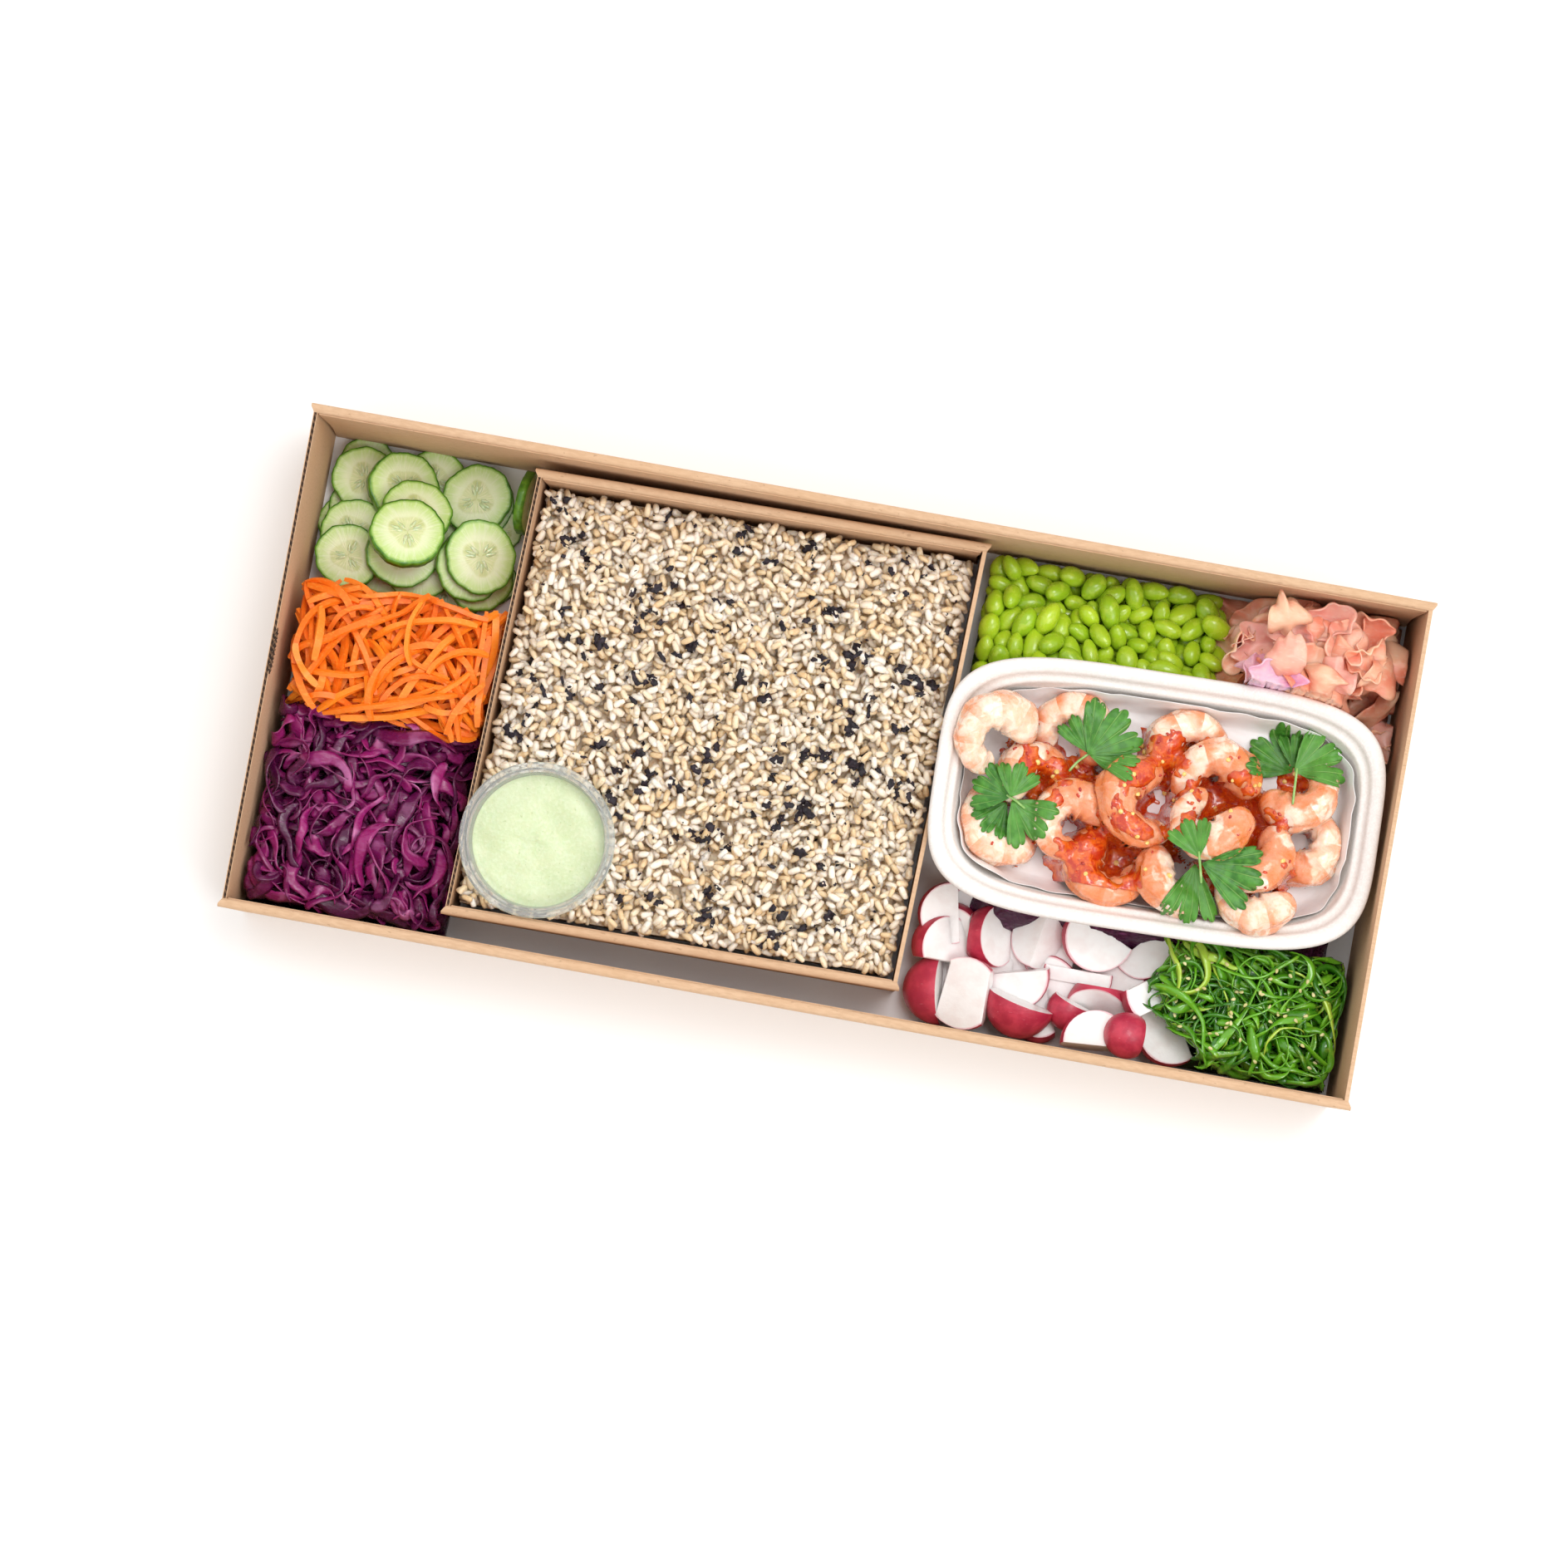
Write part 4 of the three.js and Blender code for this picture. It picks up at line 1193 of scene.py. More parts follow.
def seaweed():
    rng = random.Random(41)
    sunk = 14
    # the heap's middle is darker than the strands: painted shade for the depths between them
    bed = seaweed_finish("packed seaweed", "2a6a14", "14400a", "3f7a1c")
    seaweed_patch.core("seaweed_core", sunk, bed, "seaweed", "seaweed", 2, 3)
    pile = seaweed_patch.pile(sunk)
    shape = strand_shape("seaweed", 5, 17, 0.3)
    make = lambda rng: curled_path(rng, rng.uniform(26, 64), rng.gauss(0, 2.2), 0.2, 17)
    laid = strew(seaweed_patch, pile, rng, 350, make, (1.3, 5.0), (0.6, 1.1), 0.5, 0.7, 3.5)
    items = []
    for path, wide, deep in laid:
        points = bent(shape, path, wide, deep, rng.gauss(0, 3), rng.gauss(0, 1.1), 0.3)
        items.append((shape, points, rng.random()))
    finish = seaweed_finish("seaweed", "6db222", "2f7410", "b4d446")
    serve(copies("seaweed_strands", items), finish, "seaweed", "seaweed")
    seed = ball("seed", 8, 6)
    points = points_of(seed) * np.array([1.35, 0.85, 0.45]) * MM
    points[:, 1] *= 1 - 0.28 * points[:, 0] / (1.35 * MM)
    seed = Shape(set_points(seed, points))
    items = []
    while len(items) < 48:
        x, y = rng.uniform(190, 268), rng.uniform(-112, -62)
        z = pile.at(x * MM, y * MM) + 0.5 * MM
        spin = turned(rng.uniform(0, 6.3), rng.gauss(0, 0.3), rng.gauss(0, 0.3))
        items.append((seed, seed.points @ spin.T + np.array([x * MM, y * MM, z]), rng.random()))
    serve(copies("sesame_seeds", items), sesame_finish(), "seaweed")


# ---------------------------------------------------------------- edamame


def bean_end(y):
    return 190 - 0.25 * (y - 70) + 2 * np.sin(y / 5)


bean_patch = Patch(
    lambda y: square_right(y) + 3.2,
    bean_end,
    lambda x: 46 + 0 * x,
    lambda x: 116.5 + 1.5 * np.sin(x / 11),
    lambda x, y: mixed(34, 15, eased((y - 62) / 50)) + 2.5 * wobble(x, y, 7, 4),
)
BEAN = (8.1, 5.35, 4.8)
BEANS = 150


def bean_shape():
    """A shelled bean: a plump oval, a little kidney-shaped, with a seam along one side."""
    bean = ball("bean", 14, 9)
    points = points_of(bean)[:, [2, 0, 1]]
    x, y, z = points.T
    seam = 0.07 * np.exp(-((z / 0.22) ** 2)) * eased((y - 0.2) / 0.5)
    blunt = 1 - 0.1 * x
    y = y * blunt - seam - 0.1 * (1 - x * x)
    shaped = np.stack([x * BEAN[0], y * BEAN[1], z * blunt * BEAN[2]], 1)
    set_points(bean, shaped * MM)
    face_out(bean)
    return Shape(bean)


def settle_beans(rng):
    """Lets the beans roll apart and down until they lie on each other without cutting in."""
    count, (long, wide, thick) = BEANS, BEAN
    left, front, right, back = bean_patch.box()
    middles, sizes = [], rng.uniform(0.82, 1.1, count)
    while len(middles) < count:
        x, y = rng.uniform(left, right), rng.uniform(front, back)
        if bean_patch.holds(x, y, 4):
            middles.append((x, y, bean_patch.top(x, y) + rng.uniform(-6, 4)))
    middles = np.array(middles)
    axes = rng.normal(size=(count, 3)) * np.array([1, 1, 0.3])
    axes /= np.linalg.norm(axes, axis=1)[:, None]
    radius = np.repeat(sizes * (wide + thick) / 2 * 0.95, 3)
    owner = np.repeat(np.arange(count), 3)
    ends = np.tile([-1, 0, 1], count) * np.repeat(sizes, 3) * (long - wide) * 0.95
    for _ in range(220):
        balls = middles[owner] + axes[owner] * ends[:, None]
        apart = balls[:, None] - balls[None]
        distance = np.linalg.norm(apart, axis=2) + 1e-9
        overlap = np.maximum(radius[:, None] + radius[None] - distance, 0)
        overlap[owner[:, None] == owner[None]] = 0
        push = (apart / distance[..., None] * overlap[..., None]).sum(1) * 0.32
        bed = bean_patch.top(balls[:, 0], balls[:, 1]) - 9
        bed = np.maximum(bed, 2.5)
        push[:, 2] += np.maximum(bed + radius - balls[:, 2], 0) * 0.5 - 0.12
        push[:, 0] += np.maximum(bean_patch.left(balls[:, 1]) + radius - balls[:, 0], 0) * 0.5
        push[:, 0] -= np.maximum(balls[:, 0] + radius - bean_patch.right(balls[:, 1]) - 4, 0) * 0.5
        push[:, 1] -= np.maximum(balls[:, 1] + radius - 118.5, 0) * 0.5
        inside = in_pulp_tray(balls[:, 0], balls[:, 1], 12 - radius)
        push[:, 1] += inside * 0.6
        total = np.zeros((count, 3))
        np.add.at(total, owner, push)
        middles += total / 3 * 1.6
        torque = np.zeros((count, 3))
        np.add.at(torque, owner, push * np.sign(ends)[:, None])
        axes += torque / (2 * long)
        axes /= np.linalg.norm(axes, axis=1)[:, None]
    return middles, axes, sizes


def edamame_finish():
    finish = Finish(
        "edamame", Roughness=0.24, Subsurface_Weight=0.25, Subsurface_Scale=0.003, Coat_Weight=0.25
    )
    finish.shader.inputs["Subsurface Radius"].default_value = (0.6, 1, 0.2)
    tone = finish.attribute("tone")
    mottle = finish.clouds(0.004, 3)
    _, y, _ = finish.apart(finish.attribute("spot", "Vector"))
    shade = finish.blend(tone, "b6d428", "96bd20")
    shade = finish.blend(mottle.above(0.45, 0.75) * 0.45, shade, "cfe04c")
    shade = finish.blend(y.above(0.75, 1) * 0.5, shade, "dde86c")
    finish.relief(mottle, 0.0003, 0.4)
    return finish.wear(shade, 0.16 + 0.2 * mottle)


def edamame():
    # the dark green under the beans is painted shade for the gaps between them
    bed = Finish("bean bed", Roughness=0.5)
    shade = bed.blend(bed.clouds(0.004, 3), "3d5f10", "5f8a18")
    bed.relief(bed.clouds(0.003, 3), 0.002)
    bean_patch.core("edamame_core", 9.5, bed.wear(shade), "edamame", "edamame", 1, 3)
    shape = bean_shape()
    rng = np.random.default_rng(51)
    middles, axes, sizes = settle_beans(rng)
    spots = shape.points / (np.array(BEAN) * MM)
    items = []
    for middle, axis, size in zip(middles, axes, sizes):
        yaw = math.atan2(axis[1], axis[0])
        spin = turned(yaw, math.asin(axis[2]), rng.uniform(0, 2 * math.pi))
        points = shape.points * size * np.array([rng.uniform(0.9, 1.08), 1, 1]) @ spin.T + middle * MM
        items.append((shape, points, rng.random(), spots))
    serve(copies("edamame_beans", items), edamame_finish(), "edamame", "edamame")


# ---------------------------------------------------------------- pickled ginger

ginger_patch = Patch(
    lambda y: bean_end(y) + 1,
    lambda y: 274.5 + 0 * y,
    lambda x: 48 + 0 * x,
    lambda x: 118.5 + 0 * x,
    lambda x, y: 36 + 5 * wobble(x, y, 9, 5),
)


def petal_shape():
    """A thin slice of ginger root, begun as a flat square sheet with a little thickness; petal_points gives
    it its round, uneven outline.
    """
    petal = sheet_of("petal", (-1, -1), (1, 1), 16, 14)
    modify(petal, "SOLIDIFY", thickness=0.03, offset=0)
    return Shape(petal)


def petal_points(shape, rng, long, wide):
    """One slice, its edge frilled, rolled over along one line and folded along another."""
    x, y, z = shape.points.T
    bulge = np.sqrt(np.maximum(1 - 0.5 * y * y, 0)), np.sqrt(np.maximum(1 - 0.5 * x * x, 0))
    x, y = x * bulge[0], y * bulge[1]
    turn = np.arctan2(y, x)
    reach = np.hypot(x, y)
    ragged = 1 + 0.09 * np.sin(3 * turn + rng.uniform(0, 6)) + 0.05 * np.sin(7 * turn + rng.uniform(0, 6))
    x, y = x * long * ragged, y * wide * ragged
    frill = rng.uniform(2, 4.6) * reach**2 * np.sin(rng.choice([2, 3, 4]) * turn + rng.uniform(0, 6))
    ripple = 1.1 * reach**2 * np.sin(rng.choice([6, 8, 9]) * turn + rng.uniform(0, 6))
    z = z * 33 + frill + ripple
    bend = rng.uniform(6, 15)
    angle = x / bend
    height = bend - z
    x, z = height * np.sin(angle), bend - height * np.cos(angle)
    fold = rng.uniform(10, 30)
    angle = y / fold
    height = fold - z
    y, z = height * np.sin(angle), fold - height * np.cos(angle)
    if rng.random() < 0.6:
        z = -z
    return np.stack([x, y, z], 1) * MM


def ginger_finish(name, bright, deep):
    finish = Finish(name, Roughness=0.3, Subsurface_Weight=0.45, Subsurface_Scale=0.004)
    finish.shader.inputs["Subsurface Radius"].default_value = (1, 0.5, 0.35)
    tone = finish.attribute("tone")
    fibres = finish.clouds(0.0016, 4, finish.stretched((0.3, 1, 1), 0.9))
    wash = finish.clouds(0.016, 3)
    shade = finish.blend(wash.above(0.35, 0.68), bright, deep)
    shade = finish.blend(tone.above(0.7, 0.95) * 0.5, shade, "f0aeac")
    shade = finish.blend(fibres.above(0.5, 0.75) * 0.3, shade, "fbe0cc")
    finish.relief(fibres, 0.0004, 0.5)
    return finish.wear(shade, 0.2 + 0.3 * fibres)


def lay_petals(rng, shape, places, size, pile):
    items = []
    for x, y in places:
        points = petal_points(shape, rng, rng.uniform(*size), rng.uniform(*size) * 0.72)
        spin = turned(rng.uniform(0, 6.3), rng.gauss(0, 0.45), rng.gauss(0, 0.5))
        points = points @ spin.T + np.array([x * MM, y * MM, 0])
        under = np.argsort(points[:, 2])[: len(points) // 3]
        rise = np.percentile(pile.at(points[under, 0], points[under, 1]) - points[under, 2], 62)
        points[:, 2] += rise
        points[:, 0] = np.minimum(points[:, 0], 275.2 * MM)
        points[:, 1] = np.minimum(points[:, 1], 119.8 * MM)
        under_rim = in_pulp_tray(points[:, 0] / MM, points[:, 1] / MM, -1)
        points[:, 2] = np.where(under_rim, np.minimum(points[:, 2], 59 * MM), points[:, 2])
        pile.cover(points[:, 0], points[:, 1], points[:, 2])
        items.append((shape, points, rng.random()))
    return items


def ginger():
    # the heap's middle is darker than the slices: painted shade for the depths between them
    bed = ginger_finish("packed ginger", "e9a68c", "cf7f68")
    ginger_patch.core("ginger_core", 15, bed, "ginger", "ginger", 2, 4)
    rng = random.Random(61)
    pile = ginger_patch.pile(15)
    shape = petal_shape()
    places = []
    while len(places) < 70:
        x, y = rng.uniform(190, 270), rng.uniform(74, 114)
        if ginger_patch.holds(x, y, 3):
            places.append((x, y))
    down_side = [(268, 66), (269, 60), (269, 54), (264, 68)]
    items = lay_petals(rng, shape, [*places, *down_side], (11.5, 19), pile)
    pickled = ginger_finish("pickled ginger", "fbc0a0", "f08c70")
    serve(copies("ginger_slices", items), pickled, "ginger", "ginger")
    mauve = lay_petals(rng, shape, [(208, 77), (199, 78)], (11, 15), pile)
    serve(copies("ginger_mauve", mauve), ginger_finish("mauve ginger", "f0bccb", "d690b4"), "ginger")


# ---------------------------------------------------------------- cucumber


def node_points(node):
    """The corners of a plain solid as it was packed, each only once, in metres."""
    return np.unique(np.round(points_of(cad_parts[node]), 6), axis=0)


def flat_axes(points):
    """The middle of a flat thing and its axes: two along it, and last its normal, facing up."""
    middle = (points.max(0) + points.min(0)) / 2
    spread = points - points.mean(0)
    axes = np.linalg.svd(spread, full_matrices=False)[2]
    normal = axes[2] * (1 if axes[2][2] >= 0 else -1)
    along = axes[0]
    return points.mean(0), np.stack([along, np.cross(normal, along), normal], 1), middle


def flesh_finish():
    finish = Finish(
        "cucumber flesh", Roughness=0.25, Subsurface_Weight=0.3, Subsurface_Scale=0.003, Coat_Weight=0.2
    )
    finish.shader.inputs["Subsurface Radius"].default_value = (0.8, 1, 0.5)
    spot = finish.attribute("spot", "Vector")
    tone = finish.attribute("tone")
    x, y, _ = finish.apart(spot)
    reach = finish.node("Math", {"operation": "SQRT"}, {0: x * x + y * y})
    around = finish.node("Math", {"operation": "ARCTAN2"}, {0: y, 1: x})
    thirds = finish.node("Math", {"operation": "COSINE"}, {0: around * 3 + tone * 9})
    spread = finish.node("CombineXYZ", {}, {0: around * 2.2, 1: reach * 0.35, 2: tone * 7})
    streaks = finish.clouds(0.16, 4, spread)
    grain = finish.clouds(0.0018, 4)
    core = (reach - 0.06 * thirds).below(0.42, 0.52)
    shade = finish.blend(reach.above(0.5, 0.88), "e6efc2", "c6e08c")
    shade = finish.blend(streaks.above(0.45, 0.7) * reach.above(0.3, 0.7) * 0.35, shade, "f0f4dc")
    shade = finish.blend(core * 0.75, shade, "d3dd9a")
    shade = finish.blend(core * streaks.above(0.5, 0.62) * 0.8, shade, "f0f0c8")
    shade = finish.blend(core * thirds.above(0.5, 0.95) * 0.45, shade, "b9c56e")
    shade = finish.blend(reach.above(0.87, 0.96) * 0.9, shade, "7fb03a")
    shade = finish.blend(grain.above(0.55, 0.75) * 0.25, shade, "f3f6e4")
    finish.relief(streaks * 0.6 + grain * 0.3 + core * 0.3, 0.0006, 0.6)
    return finish.wear(shade, 0.2 + 0.25 * grain)


def rind_finish():
    finish = Finish("cucumber rind", Roughness=0.3, Coat_Weight=0.3)
    tone = finish.attribute("tone")
    blotches = finish.clouds(0.0035, 4)
    shade = finish.blend(blotches.above(0.35, 0.65), "2f6a12", "5f9422")
    shade = finish.blend(tone * 0.35, shade, "7fae35")
    finish.relief(blotches, 0.0005)
    return finish.wear(shade, 0.25 + 0.25 * blotches)


def seed_finish():
    finish = Finish(
        "cucumber seed", Roughness=0.18, Subsurface_Weight=0.4, Subsurface_Scale=0.002, Coat_Weight=0.4
    )
    mist = finish.clouds(0.002, 3)
    finish.relief(mist, 0.0002, 0.4)
    return finish.wear(finish.blend(mist.above(0.35, 0.65), "c9d39c", "dde4b8"), 0.12 + 0.2 * mist)


def slice_blank():
    """A round cut slice: the rind stands a hair proud at the rim, and the cut faces sink a little."""
    deselect()
    bpy.ops.mesh.primitive_cylinder_add(vertices=72, radius=1, depth=1)
    blank = added("slice")
    cut_faces = lambda face: abs(face.normal.z) > 0.9
    edit(blank, lambda: bpy.ops.mesh.inset(thickness=0.045, depth=0.015), faces=cut_faces)
    blank_rim = lambda face: abs(face.normal.z) > 0.9 and len(face.verts) > 8
    for thickness, depth in ((0.06, 0.0), (0.28, -0.02), (0.2, -0.015), (0.2, 0.01), (0.18, 0.02)):
        edit(blank, lambda: bpy.ops.mesh.inset(thickness=thickness, depth=depth), faces=blank_rim)
    reach = np.hypot(*points_of(blank)[:, :2].T)
    for face in blank.data.polygons:
        outer = np.mean(reach[list(face.vertices)])
        face.material_index = 0 if outer > 0.965 else 1
    return Shape(blank)


def teardrop():
    drop = ball("teardrop", 8, 6)
    points = points_of(drop)[:, [2, 0, 1]]
    points *= np.array([1, 0.42, 0.3])
    points[:, 1:] *= (0.75 - 0.35 * points[:, 0])[:, None]
    return Shape(set_points(drop, points))


LOW_SLICES = [  # the middle and radius of the slices that lie flat under the others
    (-256, 62, 4.4, 17.5), (-236, 50, 4.4, 17), (-206, 52, 4.2, 17.5), (-220, 88, 4.4, 18),
    (-184, 61, 4.2, 12), (-184, 88, 4.4, 10), (-222, 107, 4.6, 16), (-266, 78, 4.2, 12),
    (-258, 108, 4.4, 15), (-238, 74, 4.4, 15),
]


def cucumber():
    rng = random.Random(71)
    blank, seed = slice_blank(), teardrop()
    rounds, seeds = [], []
    names = [f"cucumber_{i + 1}" for i in range(16)]
    places = []
    for name in names:
        _, axes, centre = flat_axes(node_points(name))
        flat = (node_points(name) - centre) @ axes
        places.append((axes, centre, np.hypot(flat[:, 0], flat[:, 1]).mean(), np.ptp(flat[:, 2])))
    for x, y, z, radius in LOW_SLICES:
        axes = turned(0.03 * x, 0.02 * math.sin(x), 0.03 * math.cos(y))
        places.append((axes, np.array([x, y, z]) * MM, radius * MM, 3.6 * MM))
    for axes, centre, radius, thick in places:
        lobes, lag = rng.choice([5, 6, 7, 8]), rng.uniform(0, 6)
        x, y, z = blank.points.T
        turn = np.arctan2(y, x)
        wave = 1 + 0.016 * np.sin(lobes * turn + lag) + 0.010 * np.sin(13 * turn + 2 * lag)
        wave = wave + 0.006 * np.sin(29 * turn)
        long = 1 + rng.uniform(0, 0.04)
        warp = rng.uniform(0.2, 0.6) * MM * (x * x - y * y)
        shaped = np.stack([x * radius * wave * long, y * radius * wave / long, z * thick + warp], 1)
        tone = rng.random()
        spots = np.stack([x, y, z], 1)
        rounds.append((blank, shaped @ axes.T + centre, tone, spots))
        for k in range(9):
            angle = -3 * tone + 2 * math.pi * (k // 3) / 3 + (k % 3 - 1) * 0.36 + rng.gauss(0, 0.06)
            out = radius * (0.27 + 0.05 * (k % 3 == 1) + rng.gauss(0, 0.02))
            c, s = math.cos(angle), math.sin(angle)
            drop = seed.points * radius * rng.uniform(0.13, 0.17)
            x, y, z = drop.T
            drop = np.stack([c * x - s * y, s * x + c * y, z * 0.55], 1)
            for face in (1, -1):
                place = np.array([c * out, s * out, face * (thick / 2 - 0.016 * thick)])
                seeds.append((seed, (drop + place) @ axes.T + centre, rng.random()))
    slices = copies("cucumber_slices", rounds)
    for finish in (rind_finish(), flesh_finish()):
        slices.data.materials.append(finish)
    serve(slices, None, "cucumber", *names)
    serve(copies("cucumber_seeds", seeds), seed_finish(), "cucumber")


# ---------------------------------------------------------------- radish


def cut_faces_of(node):
    """The flat cuts of a plain chunk, each as (a point on it, its normal, its area)."""
    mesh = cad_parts[node].data
    groups = []
    for face in mesh.polygons:
        for group in groups:
            away = abs((face.center - group[0]).dot(group[1]))
            if group[1].dot(face.normal) > 0.9995 and away < 0.03 * MM:
                group[2] += face.area
                break
        else:
            groups.append([face.center.copy(), face.normal.copy(), face.area])
    return [group for group in groups if group[2] > RADISH_CUT]


RADISH_CUT = 78 * MM * MM


RADISH_RADII = (12.4, 14, 13.5, 16.2, 13, 16.2, 16.2, 15.7, 16.2, 14, 15.7, 9.7, 15.1, 10.3, 15.1, 19.4)


def ball_through(points, radius):
    """The middle of the ball of that radius that lies closest to some points."""
    middle = points.mean(0)
    for _ in range(300):
        way = points - middle
        way /= np.linalg.norm(way, axis=1)[:, None]
        middle = (points - radius * way).mean(0)
    return middle


def radish_skin():
    finish = Finish(
        "radish skin", Roughness=0.35, Subsurface_Weight=0.1, Subsurface_Scale=0.002, Coat_Weight=0.15
    )
    patches = finish.clouds(0.007, 4)
    scuffs = finish.clouds(0.0022, 4, finish.stretched((0.5, 1.6, 1), 0.4))
    tone = finish.attribute("tone")
    shade = finish.blend(patches.above(0.35, 0.68), "b0203f", "cf3d55")
    shade = finish.blend(tone * 0.4, shade, "d9506a")
    shade = finish.blend(scuffs.above(0.66, 0.78) * 0.35, shade, "efa3ac")
    finish.relief(scuffs + patches * 0.5, 0.0004, 0.5)
    return finish.wear(shade, 0.28 + 0.3 * scuffs)


def radish_flesh():
    finish = Finish(
        "radish flesh", Roughness=0.3, Subsurface_Weight=0.35, Subsurface_Scale=0.004, Coat_Weight=0.2
    )
    finish.shader.inputs["Subsurface Radius"].default_value = (1, 0.9, 0.88)
    patches = finish.clouds(0.008, 3)
    grain = finish.clouds(0.0016, 4)
    shade = finish.blend(patches.above(0.4, 0.7), "faf8f6", "f4eeec")
    shade = finish.blend(finish.attribute("spot").above(0.93, 1.0) * 0.7, shade, "e58a9c")
    finish.relief(grain + patches, 0.0003, 0.5)
    return finish.wear(shade, 0.25 + 0.25 * grain)


def radish_chunk(name, middle, radius, cuts, tone):
    """A round radish, cut flat where the chunk was cut, with two rings inset on each cut."""
    chunk = ball(name, 36, 22, radius)
    points = points_of(chunk)
    x, y, z = (points / radius).T
    uneven = 0.018 * np.sin(3 * x + 9 * tone) * np.cos(2.6 * y + 5 * tone)
    points *= (1 + uneven + 0.008 * np.sin(9 * z + 4 * x))[:, None]
    set_points(chunk, points + middle)
    for corner, normal, _ in cuts:
        slab = lambda: bpy.ops.mesh.bisect(
            plane_co=corner, plane_no=normal, use_fill=True, clear_outer=True
        )
        edit(chunk, slab)
    is_cut = lambda face: any(
        face.normal.dot(normal) > 0.999 and abs((face.center - corner).dot(normal)) < 0.1 * MM
        for corner, normal, _ in cuts
    )
    flags = [is_cut(face) for face in chunk.data.polygons]
    for face, flag in zip(chunk.data.polygons, flags):
        face.material_index = int(flag)
    for thickness in (0.35 * MM, 1.3 * MM):
        ring = lambda: bpy.ops.mesh.inset(thickness=thickness, use_even_offset=False)
        edit(chunk, ring, faces=lambda face: face.material_index == 1 and len(face.verts) > 4)
    split = lambda: bpy.ops.mesh.quads_convert_to_tris(ngon_method="BEAUTY")
    edit(chunk, split, faces=lambda face: len(face.verts) > 4)
    reach = np.linalg.norm(points_of(chunk) - middle, axis=1) / radius
    chunk.data.attributes.new("spot", "FLOAT", "POINT").data.foreach_set("value", reach)
    chunk.data.attributes.new("tone", "FLOAT", "POINT").data.foreach_set("value", np.full(len(reach), tone))
    for finish in RADISH_FINISHES:
        chunk.data.materials.append(finish)
    points = points_of(chunk)
    low, high = points.min(0), points.max(0)
    foot = np.array([*(low + high)[:2] / 2, low[2]])
    points = foot + (points - foot) * RADISH_SWELL
    points[:, 0] += max(0, (square_right(foot[1] / MM) + 1.5) * MM - points[:, 0].min())
    points[:, 1] += max(0, -120.4 * MM - points[:, 1].min())
    points[:, 2] = np.maximum(points[:, 2], 2.2 * MM)
    set_points(chunk, points)
    smooth(chunk, 32)
    return chunk


def small_chunk(name, x, y, z, radius, ways):
    """A chunk that is only seen between the others, in mm, cut across the ways given."""
    middle = Vector((x, y, z)) * MM
    ways = [(Vector(way).normalized(), share) for way, share in ways]
    cuts = [(middle + way * share * radius * MM, way, 0) for way, share in ways]
    return radish_chunk(name, np.array(middle), radius * MM, cuts, (x * 0.37) % 1)


RADISH_SWELL = np.array([1.13, 1.13, 1.08])
SMALL_CHUNKS = [  # middle, radius, and each cut's way and share of the radius
    (66, -64, 22, 14, [((0.2, -0.1, 1), 0.2), ((1, 0.2, 0), 0.3)]),
    (63, -80, 20, 14, [((0.6, 0, 1), 0.3), ((0, -1, 0), 0.5)]),
    (128, -92, 9, 15, [((0, 0, 1), 0.35), ((-1, 0.3, 0), 0.6)]),
    (103, -91, 8, 15, [((0.3, 0, 1), 0.3), ((0, 1, 0), 0.6)]),
    (161, -80, 8, 15, [((-0.2, 0.1, 1), 0.3), ((0.4, 1, 0), 0.6)]),
    (84, -94, 7, 14, [((0, 0.2, 1), 0.3), ((0, 1, 0.2), 0.5)]),
    (172, -102, 9, 14, [((0.1, -0.2, 1), 0.4), ((-1, 0, 0), 0.6)]),
    (128, -74, 8, 14, [((0, 0, 1), 0.3), ((1, 0, 0), 0.7)]),
    (105, -78, 7, 13, [((0, 0, 1), 0.3), ((0, 1, 0), 0.6)]),
    (126, -112, 9, 13, [((0, 0.1, 1), 0.5), ((1, 0.3, 0), 0.5)]),
    (84, -62, 9, 13, [((0, 0, 1), 0.4), ((0, -1, 0), 0.6)]),
    (152, -60, 9, 13, [((0, 0, 1), 0.4), ((0, -1, 0), 0.6)]),
]


def radishes():
    rng = random.Random(81)
    chunks = []
    names = [f"radish_{i + 1}" for i in range(16)]
    for name, radius in zip(names, RADISH_RADII):
        cuts = cut_faces_of(name)
        planes_at = lambda p: sum(
            abs((Vector(p) - corner).dot(normal)) < 0.1 * MM for corner, normal, _ in cuts
        )
        skin = [p for p in node_points(name) if planes_at(p) < 2]
        middle = ball_through(np.array(skin), radius * MM)
        chunks.append(radish_chunk(name + "_cut", middle, radius * 1.005 * MM, cuts, rng.random()))
    chunks += [small_chunk("small_chunk", *chunk) for chunk in SMALL_CHUNKS]
    return serve(joined("radish_chunks", chunks), None, "radish", *names)


# ---------------------------------------------------------------- prawns

PRAWN = {"curl": 12.2, "sweep": 5, "body": 10.4, "tail": 6.4, "fan": 8}
PRAWN_TURNS = [  # the way that the gap faces in degrees, size, and which side is up
    (-45, 1, 1), (20, 1.02, -1), (-90, 0.95, -1), (45, 0.95, -1), (180, 0.92, 1),
    (60, 0.97, 1), (-95, 0.95, 1), (150, 0.95, 1), (-80, 0.92, -1), (95, 0.95, 1),
    (-30, 0.97, 1), (-60, 1, 1), (100, 0.95, -1), (60, 0.97, -1), (20, 1.08, 1),
]
SEGMENTS = 6.5
PRAWN_SWELL = np.array([1.12, 1.12, 1.06])


